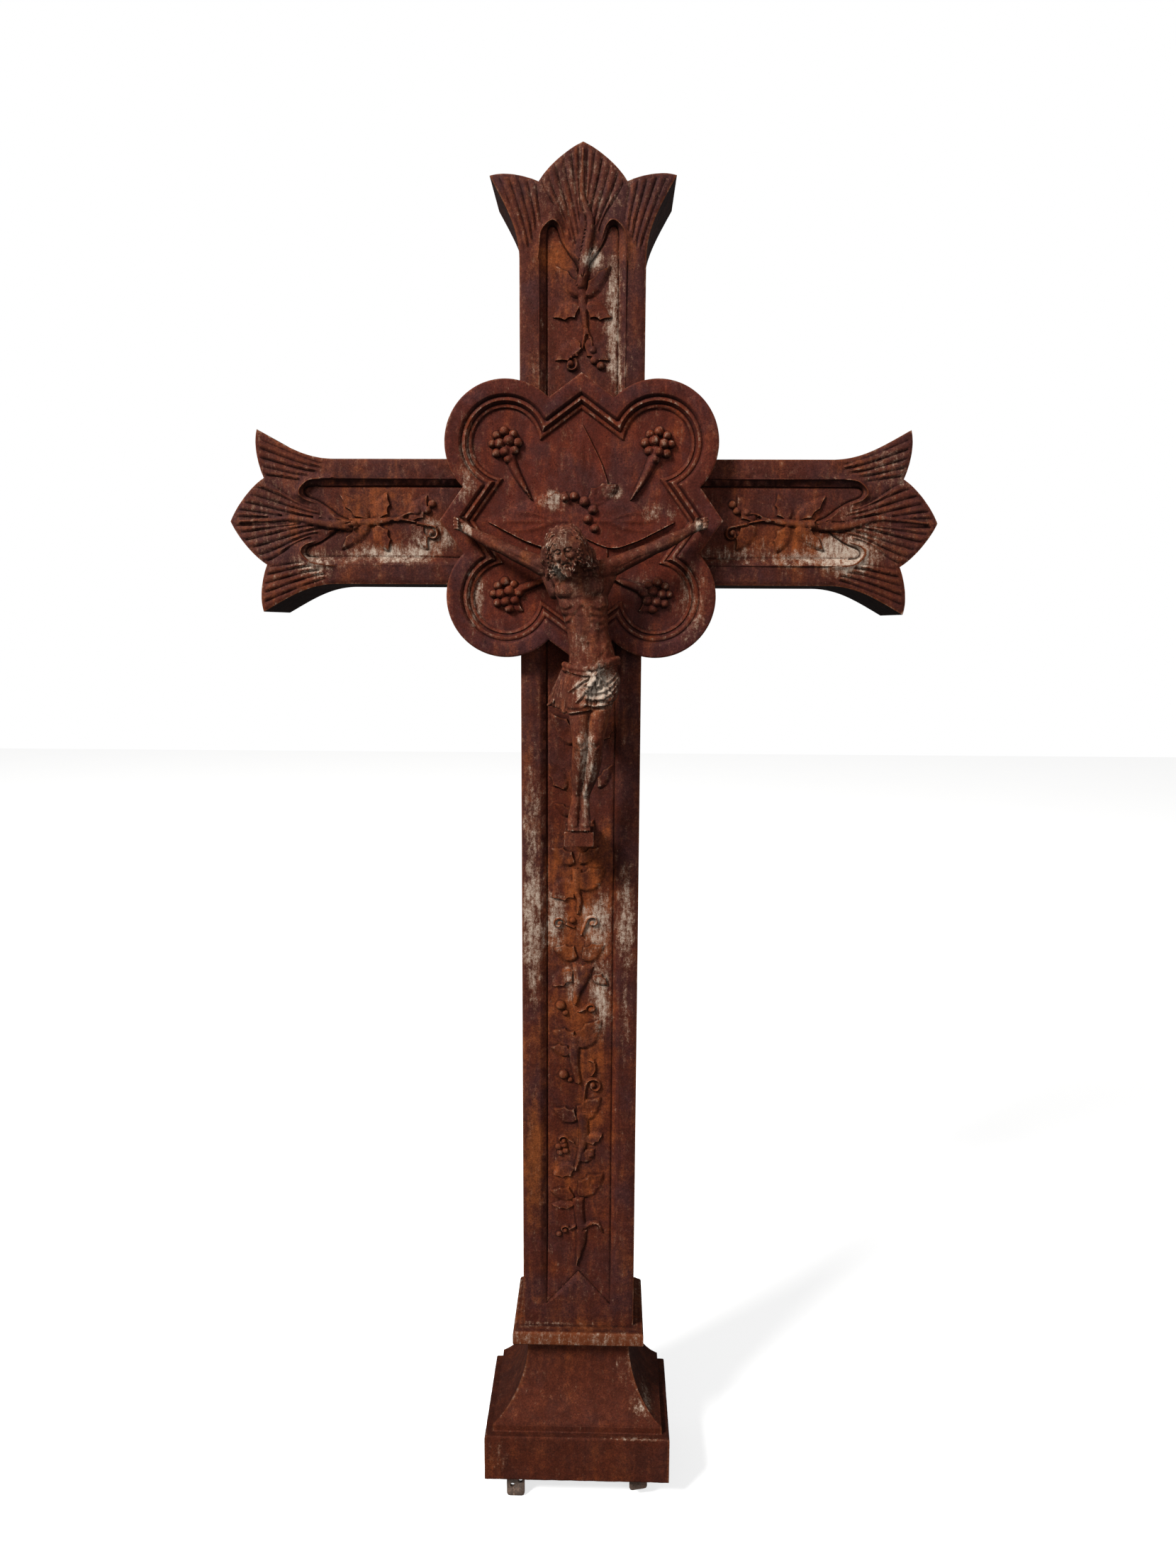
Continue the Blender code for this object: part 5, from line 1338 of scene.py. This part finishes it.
def make_corpus():
    corpus = new_piece("corpus_casting",
                       finish_mesh(figure_form(FOOT_BLOCK_TOP, FOOT_BLOCK_HEIGHT, FOOT_BLOCK_HALF,
                                               FOOT_BLOCK_FRONT)))
    blend = corpus.modifiers.new("blend", "REMESH")
    blend.mode = "VOXEL"
    blend.voxel_size = 0.0009
    soften = corpus.modifiers.new("soften", "SMOOTH")
    soften.factor = 0.5
    soften.iterations = 4
    apply_all(corpus)
    places = carve(positions(corpus), directions(corpus), body_marks(), gain=0.55)
    on_head = np.linalg.norm(places - np.array(HEAD), axis=1) < 0.034
    on_cloth = (places[:, 2] > 0.966) & (places[:, 2] < 1.03) & ~on_head
    move_to(corpus, places)
    out = directions(corpus)
    places = np.where(on_cloth[:, None], carve(places, out, cloth_marks()), places)
    places = np.where(on_head[:, None], carve(places, out, head_marks(), HEAD_TURN), places)
    places += 0.00012 * roughness_of(places, 0.004)[:, None] * out
    places[:, 1] += FACE_Y
    low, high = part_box("corpus")
    on_plate = (np.abs(places[:, 0]) < 0.16) & (places[:, 2] > 1.02)
    places[:, 1] = np.where(on_plate, np.minimum(places[:, 1], FACE_Y - MEDALLION_FRONT - JOINT_GAP),
                            places[:, 1])
    move_to(corpus, np.clip(places, np.array(low), np.array(high)))
    thin = corpus.modifiers.new("thin", "DECIMATE")
    thin.ratio = 0.62
    apply_all(corpus)
    return corpus


def mark_wear_and_shade(piece, gain=2.8):
    """Stores how sharply each point stands out of its neighbours, for crests and hollows."""
    places, out = positions(piece), directions(piece)
    count = len(places)
    edges = np.empty(len(piece.data.edges) * 2, int)
    piece.data.edges.foreach_get("vertices", edges)
    a, b = edges[::2], edges[1::2]
    run = places[a] - places[b]
    run /= np.maximum(np.linalg.norm(run, axis=1), SMALL)[:, None]
    links = np.maximum(np.bincount(a, minlength=count) + np.bincount(b, minlength=count), 1)
    ahead, behind = (np.bincount(end, np.sum(run * out[end], axis=1), count) for end in (a, b))
    stand = (ahead - behind) / links
    soft = (np.bincount(a, stand[b], count) + np.bincount(b, stand[a], count)) / links
    layer = piece.data.attributes.new("stands_out", "FLOAT", "POINT")
    layer.data.foreach_set("value", np.clip((0.6 * stand + 0.4 * soft) * gain, -1, 1).astype(np.float32))


def node_group(name, inputs, outputs):
    tree = bpy.data.node_groups.new(name, "ShaderNodeTree")
    for label, kind, value in inputs:
        socket = tree.interface.new_socket(name=label, in_out="INPUT", socket_type=kind)
        socket.default_value = value
    for label, kind in outputs:
        tree.interface.new_socket(name=label, in_out="OUTPUT", socket_type=kind)
    return tree, tree.nodes.new("NodeGroupInput"), tree.nodes.new("NodeGroupOutput")


def add(tree, kind, links=(), **values):
    """A node with some of its inputs linked and its settings made."""
    node = tree.nodes.new(kind)
    for key, value in values.items():
        setattr(node, key, value)
    for label, source in links:
        socket = node.inputs[label]
        if isinstance(source, bpy.types.NodeSocket):
            tree.links.new(source, socket)
        else:
            socket.default_value = source
    return node


def math_node(tree, operation, *values):
    return add(tree, "ShaderNodeMath", list(enumerate(values)), operation=operation).outputs[0]


def times(tree, a, b):
    return math_node(tree, "MULTIPLY", a, b)


def times_plus(tree, a, b, c):
    return math_node(tree, "MULTIPLY_ADD", a, b, c)


def ramp(tree, source, low, high, to_low=0.0, to_high=1.0):
    node = add(tree, "ShaderNodeMapRange",
               [("Value", source), ("From Min", low), ("From Max", high), ("To Min", to_low),
                ("To Max", to_high)],
               interpolation_type="SMOOTHSTEP")
    return node.outputs["Result"]


def mix_colour(tree, factor, a, b, how="MIX"):
    node = add(tree, "ShaderNodeMix", data_type="RGBA", blend_type=how, clamp_factor=True)
    for socket, value in ((node.inputs[0], factor), (node.inputs[6], a), (node.inputs[7], b)):
        if isinstance(value, bpy.types.NodeSocket):
            tree.links.new(value, socket)
        elif isinstance(value, tuple):
            socket.default_value = (*value, 1.0) if len(value) == 3 else value
        else:
            socket.default_value = value
    return node.outputs[2]


def noise_of(tree, vector, scale, detail=4.0, rough=0.55, distortion=0.0):
    links = [("Vector", vector), ("Scale", scale), ("Detail", detail), ("Roughness", rough),
             ("Distortion", distortion)]
    return add(tree, "ShaderNodeTexNoise", links).outputs["Fac"]


def object_place(tree):
    return add(tree, "ShaderNodeTexCoord").outputs["Object"]


def streaked(tree, place, share):
    """The same places drawn out upright, for streaks."""
    return add(tree, "ShaderNodeMapping", [("Vector", place), ("Scale", (1.0, 1.0, share))]).outputs[0]


def darkened(tree, colour, light):
    shade = add(tree, "ShaderNodeCombineXYZ", [(0, light), (1, light), (2, light)]).outputs[0]
    return mix_colour(tree, 1.0, colour, shade, "MULTIPLY")


def build_patch():
    """A soft-edged, ragged patch round a named place."""
    tree, given, put = node_group("ragged_patch",
                                  [("Centre", "NodeSocketVector", (0, 0, 0)),
                                   ("Reach", "NodeSocketVector", (0.1, 0.1, 0.1)),
                                   ("Strength", "NodeSocketFloat", 1.0)],
                                  [("Mask", "NodeSocketFloat")])
    place = object_place(tree)
    away = place
    for label, operation in (("Centre", "SUBTRACT"), ("Reach", "DIVIDE")):
        step = add(tree, "ShaderNodeVectorMath", [(0, away), (1, given.outputs[label])],
                   operation=operation)
        away = step.outputs[0]
    length = add(tree, "ShaderNodeVectorMath", [(0, away)], operation="LENGTH").outputs["Value"]
    ragged = times_plus(tree, noise_of(tree, place, 45.0, 5.0, 0.62), 1.5, length)
    mask = ramp(tree, ragged, 2.15, 0.95)
    tree.links.new(times(tree, mask, given.outputs["Strength"]), put.inputs["Mask"])
    return tree


def build_rust():
    """Deep red-brown rust, clouded with purple and orange, speckled, streaked and pitted."""
    tree, given, put = node_group("cast_iron_rust",
                                  [("Deep", "NodeSocketColor", (0.1, 0.03, 0.02, 1)),
                                   ("Purple", "NodeSocketColor", (0.1, 0.04, 0.035, 1)),
                                   ("Orange", "NodeSocketColor", (0.25, 0.09, 0.03, 1)),
                                   ("Orange share", "NodeSocketFloat", 0.3)],
                                  [("Color", "NodeSocketColor"), ("Grain", "NodeSocketFloat"),
                                   ("Pits", "NodeSocketFloat")])
    place = object_place(tree)
    streaks = streaked(tree, place, 0.16)
    clouds = noise_of(tree, place, 14.0, 6.0, 0.62, 0.3)
    runs = noise_of(tree, streaks, 60.0, 5.0, 0.65, 0.4)
    bloom = noise_of(tree, place, 95.0, 6.0, 0.68)
    speck = noise_of(tree, place, 480.0, 4.0, 0.7)
    dust = noise_of(tree, place, 1300.0, 2.0, 0.6)
    colour = mix_colour(tree, ramp(tree, times_plus(tree, bloom, 0.3, clouds), 0.54, 0.78),
                        given.outputs["Deep"], given.outputs["Purple"])
    warm = times_plus(tree, bloom, 0.3, times(tree, runs, 0.45))
    warm = times_plus(tree, noise_of(tree, place, 26.0, 4.0, 0.6), 0.4, warm)
    warm = times_plus(tree, speck, 0.1, warm)
    warm = times_plus(tree, given.outputs["Orange share"], 0.45, warm)
    colour = mix_colour(tree, ramp(tree, warm, 0.7, 1.02), colour, given.outputs["Orange"])
    light = ramp(tree, speck, 0.32, 0.7, 0.72, 1.3)
    for source, least, most in ((dust, 0.82, 1.2), (bloom, 0.84, 1.18), (runs, 0.84, 1.18)):
        light = times(tree, light, ramp(tree, source, 0.32, 0.68, least, most))
    cells = add(tree, "ShaderNodeTexVoronoi", [("Vector", place), ("Scale", 420.0), ("Randomness", 1.0)])
    wanted = ramp(tree, noise_of(tree, place, 48.0, 4.0, 0.6), 0.5, 0.68)
    pits = times(tree, ramp(tree, cells.outputs["Distance"], 0.36, 0.14), wanted)
    light = times(tree, light, times_plus(tree, pits, -0.4, 1.0))
    colour = darkened(tree, colour, light)
    grain = times_plus(tree, speck, 0.55, times(tree, dust, 0.25))
    grain = times_plus(tree, bloom, 0.8, grain)
    tree.links.new(colour, put.inputs["Color"])
    tree.links.new(times_plus(tree, pits, -0.8, grain), put.inputs["Grain"])
    tree.links.new(pits, put.inputs["Pits"])
    return tree


def build_residue():
    """Chalky residue: where the mask is strong it covers, elsewhere it stays as flecks."""
    tree, given, put = node_group("chalky_residue",
                                  [("Mask", "NodeSocketFloat", 0.0), ("Flecks", "NodeSocketFloat", 0.1)],
                                  [("Cover", "NodeSocketFloat"), ("Color", "NodeSocketColor")])
    place = object_place(tree)
    streaks = streaked(tree, place, 0.25)
    coarse = noise_of(tree, place, 190.0, 6.0, 0.72)
    fine = noise_of(tree, place, 700.0, 3.0, 0.65)
    runs = noise_of(tree, streaks, 190.0, 5.0, 0.7)
    level = times_plus(tree, coarse, 0.5, times(tree, fine, 0.34))
    level = times_plus(tree, runs, 0.66, level)
    level = times_plus(tree, given.outputs["Mask"], 0.35, level)
    level = times_plus(tree, given.outputs["Flecks"], 0.3, level)
    cover = ramp(tree, level, 0.85, 1.2)
    tone = mix_colour(tree, ramp(tree, level, 0.9, 1.24), (0.23, 0.1, 0.05), (0.5, 0.41, 0.33))
    tree.links.new(cover, put.inputs["Cover"])
    tree.links.new(tone, put.inputs["Color"])
    return tree


RUST = build_rust()
PATCH = build_patch()
RESIDUE = build_residue()

# What turns rust purple-brown on raised rims and borders
RIM_TINT = (0.82, 0.98, 1.3)


def patch_mask(tree, centre, reach, amount):
    spot = add(tree, "ShaderNodeGroup", node_tree=PATCH)
    for label, value in (("Centre", centre), ("Reach", reach), ("Strength", amount)):
        spot.inputs[label].default_value = value
    return spot.outputs["Mask"]


def iron_finish(name, deep, purple, orange, orange_share, flecks, patches, strength=0.45,
                hollow_shade=0.5, crest_light=0.4, warm_patches=(), crest_residue_and_highlight=0.35, bump=0.001,
                bare_crests=0.3, raised=None):
    """One casting's finish: rust, crests partly rubbed and partly lit by painted highlight, painted shade
    in hollows, undersides and turned-away sides, and residue where the photo has it.
    """
    made = bpy.data.materials.new(name)
    made.use_nodes = True
    tree = made.node_tree
    shader = tree.nodes["Principled BSDF"]
    warmth = orange_share
    for patch in warm_patches:
        warmth = math_node(tree, "ADD", warmth, patch_mask(tree, *patch))
    rust = add(tree, "ShaderNodeGroup", node_tree=RUST)
    for label, value in (("Deep", deep), ("Purple", purple), ("Orange", orange)):
        rust.inputs[label].default_value = (*value, 1.0)
    if isinstance(warmth, bpy.types.NodeSocket):
        tree.links.new(warmth, rust.inputs["Orange share"])
    else:
        rust.inputs["Orange share"].default_value = warmth
    painted = rust.outputs["Color"]
    place = add(tree, "ShaderNodeTexCoord")
    if raised:
        depth = add(tree, "ShaderNodeSeparateXYZ", [(0, place.outputs["Object"])]).outputs[1]
        rim = times(tree, ramp(tree, depth, raised[0], raised[1]), 0.6)
        painted = mix_colour(tree, rim, painted, mix_colour(tree, 1.0, painted, RIM_TINT, "MULTIPLY"))
    stand = add(tree, "ShaderNodeAttribute", attribute_name="stands_out").outputs["Fac"]
    # Crests: lighter orange and residue, partly rubbed wear and partly painted highlight.
    crest = ramp(tree, stand, 0.1, 0.8)
    # Hollows: painted shade, darkened in the colour by hollow_shade.
    hollow = ramp(tree, stand, -0.06, -0.7)
    colour = mix_colour(tree, times(tree, crest, crest_light), painted,
                        tuple(min(1.0, 1.2 * c) for c in orange))
    mask = times(tree, crest, crest_residue_and_highlight)
    for patch in patches:
        spot = patch_mask(tree, *patch)
        shown = times(tree, spot, ramp(tree, stand, 0.1, 0.6, 1.0, bare_crests))
        mask = math_node(tree, "MAXIMUM", mask, shown)
    residue = add(tree, "ShaderNodeGroup", node_tree=RESIDUE)
    tree.links.new(mask, residue.inputs["Mask"])
    residue.inputs["Flecks"].default_value = flecks
    cover = times(tree, residue.outputs["Cover"], 0.88)
    colour = mix_colour(tree, cover, colour, residue.outputs["Color"])
    # Painted shade: undersides and sides turned away from the front are darkened in the colour, together
    # with the hollows.
    facing = add(tree, "ShaderNodeSeparateXYZ", [(0, place.outputs["Normal"])])
    underside_shade = ramp(tree, facing.outputs[2], -0.85, -0.1, 0.35, 1.0)
    turned = ramp(tree, facing.outputs[1], -0.55, 0.15, 1.0, 0.6)
    painted_shade = times_plus(tree, hollow, -hollow_shade, 1.0)
    painted_shade = times(tree, painted_shade, times(tree, underside_shade, turned))
    colour = darkened(tree, colour, painted_shade)
    tree.links.new(colour, shader.inputs["Base Color"])
    tree.links.new(ramp(tree, rust.outputs["Grain"], 0.3, 1.1, 0.9, 0.7), shader.inputs["Roughness"])
    shader.inputs["Specular IOR Level"].default_value = 0.12
    height = times_plus(tree, cover, 0.35, rust.outputs["Grain"])
    rough = add(tree, "ShaderNodeBump", [("Height", height), ("Strength", strength), ("Distance", bump)])
    tree.links.new(rough.outputs["Normal"], shader.inputs["Normal"])
    return made


def on_face(rows):
    """Patches of the cross's face from rows of x, height, their two reaches and strength."""
    return [((x, FACE_Y, z), (wide, 0.03, high), amount) for x, z, wide, high, amount in rows]


def shaft_patches():
    """Where the pale residue lies on the cross."""
    return on_face([(-0.058, 0.74, 0.02, 0.06, 0.66), (-0.058, 0.69, 0.018, 0.05, 0.74),
                    (-0.056, 0.82, 0.014, 0.11, 0.45), (0.055, 0.715, 0.014, 0.07, 0.66),
                    (0.02, 0.71, 0.022, 0.045, 0.8), (-0.03, 0.715, 0.016, 0.04, 0.8),
                    (0.026, 0.62, 0.016, 0.06, 0.75), (-0.01, 0.64, 0.012, 0.03, 0.6),
                    (-0.055, 0.64, 0.012, 0.04, 0.5), (0.056, 0.6, 0.01, 0.06, 0.35),
                    (0.034, 1.41, 0.01, 0.085, 0.72), (0.012, 1.468, 0.014, 0.014, 0.9),
                    (0.04, 1.35, 0.012, 0.04, 0.6), (-0.045, 1.34, 0.012, 0.03, 0.3),
                    (0.3, 1.15, 0.05, 0.026, 0.9), (0.26, 1.146, 0.06, 0.012, 0.8),
                    (0.32, 1.18, 0.03, 0.03, 0.45), (0.18, 1.148, 0.07, 0.014, 0.45),
                    (-0.215, 1.148, 0.075, 0.013, 0.8), (-0.17, 1.166, 0.03, 0.026, 0.7),
                    (-0.31, 1.135, 0.03, 0.02, 0.7), (-0.385, 1.285, 0.02, 0.018, 0.5),
                    (0.35, 1.245, 0.04, 0.03, 0.35), (0.0, 1.545, 0.085, 0.045, 0.28),
                    (-0.365, 1.19, 0.035, 0.08, 0.25), (0.055, 0.172, 0.045, 0.007, 0.5),
                    (-0.074, 0.172, 0.01, 0.008, 0.5), (-0.05, 0.185, 0.08, 0.003, 0.4) ])


def medallion_patches():
    """The same on the medallion, with heights from its middle."""
    rows = ((-0.03, 0.022, 0.018, 0.014, 0.7), (0.035, 0.032, 0.014, 0.01, 0.7),
            (0.085, 0.01, 0.026, 0.012, 0.4), (-0.128, 0.062, 0.012, 0.05, 0.6),
            (-0.12, -0.08, 0.014, 0.045, 0.6), (0.125, -0.085, 0.018, 0.045, 0.5),
            (0.075, -0.075, 0.018, 0.022, 0.4))
    middle = CENTRE_HEIGHT
    return [((x, 0.03, middle + z), (wide, 0.03, high), amount) for x, z, wide, high, amount in rows]


def warm_shaft_patches():
    """Where orange rust comes through on the cross."""
    return on_face([(-0.058, 0.4, 0.016, 0.09, 0.55), (0.0, 0.69, 0.045, 0.055, 0.35),
                    (0.0, 0.56, 0.05, 0.08, 0.3), (0.0, 0.77, 0.05, 0.06, 0.35),
                    (-0.25, 1.2, 0.05, 0.05, 0.3), (0.0, 0.42, 0.04, 0.07, 0.25),
                    (-0.03, 1.47, 0.02, 0.02, 0.5),
                    (0.25, 1.16, 0.09, 0.03, 0.35) ]) + [((0.0, FACE_Y, 0.178), (0.1, 0.06, 0.022), 0.15)]


def add_area(name, place, target, size, power, colour):
    lamp = bpy.data.lights.new(name, "AREA")
    lamp.shape = "DISK"
    lamp.size = size
    lamp.energy = power
    lamp.color = colour
    item = bpy.data.objects.new(name, lamp)
    item.location = place
    item.rotation_euler = (Vector(target) - Vector(place)).to_track_quat("-Z", "Y").to_euler()
    bpy.context.scene.collection.objects.link(item)


def make_studio():
    deselect()
    bpy.ops.mesh.primitive_plane_add(size=16.0, location=(0, 0, -STRAP_LEFT_DOWN - 0.0005))
    floor = bpy.context.active_object
    floor.name = "floor"
    pale = bpy.data.materials.new("pale_floor")
    pale.use_nodes = True
    tree = pale.node_tree
    shader = tree.nodes["Principled BSDF"]
    place = object_place(tree)
    tone = mix_colour(tree, noise_of(tree, place, 3.0, 3.0, 0.5), (0.9, 0.9, 0.9), (0.93, 0.93, 0.925))
    seen = add(tree, "ShaderNodeLightPath").outputs["Is Camera Ray"]
    tree.links.new(mix_colour(tree, seen, (0.14, 0.14, 0.14), tone), shader.inputs["Base Color"])
    shader.inputs["Emission Color"].default_value = (1.0, 1.0, 1.0, 1.0)
    tree.links.new(times(tree, seen, 0.64), shader.inputs["Emission Strength"])
    shader.inputs["Roughness"].default_value = 0.8
    floor.data.materials.append(pale)
    world = bpy.data.worlds.new("pale_surround")
    world.use_nodes = True
    tree = world.node_tree
    seen = add(tree, "ShaderNodeLightPath").outputs["Is Camera Ray"]
    tree.links.new(ramp(tree, seen, 0.0, 1.0, 0.24, 1.0), tree.nodes["Background"].inputs["Strength"])
    tree.nodes["Background"].inputs["Color"].default_value = (1.0, 1.0, 1.0, 1.0)
    bpy.context.scene.world = world
    bpy.context.scene.view_settings.view_transform = "Standard"
    add_area("key_light", (-3.4, -3.2, 4.7), (0, 0, 0.85), 1.8, 520.0, (1.0, 0.985, 0.96))
    add_area("fill_light", (1.4, -3.0, 1.6), (0, 0, 0.8), 2.2, 24.0, (0.96, 0.98, 1.0))
    lens = bpy.data.cameras.new("camera")
    lens.sensor_width = 36.0
    lens.lens = LENS
    tilt, roll = Matrix.Rotation(EYE_TILT, 3, "X"), Matrix.Rotation(EYE_ROLL, 3, "Y")
    back = (tilt @ roll @ Matrix.Rotation(EYE_TURN, 3, "Z")).transposed()
    right, up, ahead = (back @ Vector(axis) for axis in ((1, 0, 0), (0, 0, 1), (0, 1, 0)))
    axes = Matrix((right, up, -ahead)).transposed().to_4x4()
    camera = bpy.data.objects.new("camera", lens)
    camera.matrix_world = Matrix.Translation(Vector(EYE)) @ axes
    bpy.context.scene.collection.objects.link(camera)
    bpy.context.scene.camera = camera


deep, purple, orange = (0.066, 0.012, 0.0052), (0.05, 0.0128, 0.0096), (0.17, 0.04, 0.0085)
finishes = {"cross": iron_finish("rusted_iron", deep, purple, orange, 0.22, 0.24, shaft_patches(),
                                 warm_patches=warm_shaft_patches(),
                                 raised=(FACE_Y + 0.0035, FACE_Y + 0.0012)),
            "medallion": iron_finish("medallion_iron", (0.076, 0.0118, 0.0052), (0.052, 0.0128, 0.0102),
                                     (0.17, 0.034, 0.008), 0.22, 0.2, medallion_patches(),
                                     crest_residue_and_highlight=0.55, raised=(FACE_Y - 0.0175, FACE_Y - 0.0205)),
            "corpus": iron_finish("corpus_iron", (0.08, 0.0165, 0.0075), (0.062, 0.017, 0.011),
                                  (0.18, 0.05, 0.015), 0.24, 0.36,
                                  [((0.02, -0.02, 1.0), (0.022, 0.05, 0.026), 1.0),
                                   ((0.008, -0.02, 0.925), (0.012, 0.05, 0.04), 0.6),
                                   ((0.006, -0.02, 0.885), (0.006, 0.05, 0.04), 0.62),
                                   ((-0.02, -0.03, 1.15), (0.02, 0.05, 0.024), 0.5),
                                   ((-0.022, -0.03, 1.125), (0.01, 0.05, 0.01), 0.9),
                                   ((0.0, -0.02, 1.05), (0.01, 0.05, 0.02), 0.25),
                                   ((-0.128, 0.0, 1.172), (0.012, 0.05, 0.01), 0.6),
                                   ((0.132, 0.0, 1.176), (0.01, 0.05, 0.01), 0.6),
                                   ((0.004, -0.02, 1.1), (0.03, 0.05, 0.03), 0.12)],
                                  crest_residue_and_highlight=0.75, bump=0.0006, bare_crests=1.0),
            "plinth": iron_finish("plinth_iron", (0.066, 0.013, 0.0052), (0.054, 0.013, 0.0076),
                                  (0.115, 0.027, 0.0072), 0.24, 0.16,
                                  [((0.084, 0.02, 0.086), (0.018, 0.05, 0.016), 0.8),
                                   ((0.068, 0.04, 0.125), (0.02, 0.04, 0.03), 0.3),
                                   ((0.07, -0.01, 0.06), (0.05, 0.02, 0.002), 0.6),
                                   ((-0.1, 0.0, 0.035), (0.014, 0.03, 0.022), 0.3)],
                                  strength=0.5),
            "strap": iron_finish("strap_iron", (0.07, 0.048, 0.038), (0.125, 0.1, 0.085),
                                 (0.12, 0.045, 0.022), 0.1, 0.3,
                                 [((-0.078, 0.0, -0.02), (0.02, 0.03, 0.015), 0.4),
                                  ((0.078, 0.0, -0.012), (0.02, 0.03, 0.012), 0.4)]), }


def dress(piece, node, finish, angle=38.0):
    piece.data.materials.clear()
    piece.data.materials.append(finish)
    mark_wear_and_shade(piece)
    only(piece)
    bpy.ops.object.shade_smooth_by_angle(angle=math.radians(angle))
    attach(piece, "root")
    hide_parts(node)


dress(make_cross(), "cross", finishes["cross"])
dress(make_medallion(), "medallion", finishes["medallion"], 45.0)
dress(make_corpus(), "corpus", finishes["corpus"], 60.0)
dress(make_plinth(), "plinth", finishes["plinth"])
left = make_strap("strap_left", -STRAP_OFFSET, STRAP_LEFT_DOWN, 0.0, [(-0.004, -0.016), (0.006, -0.01)])
dress(left, "lug_left", finishes["strap"])
right = make_strap("strap_right", STRAP_OFFSET, STRAP_RIGHT_DOWN, 0.003, [])
dress(right, "lug_right", finishes["strap"])
make_studio()
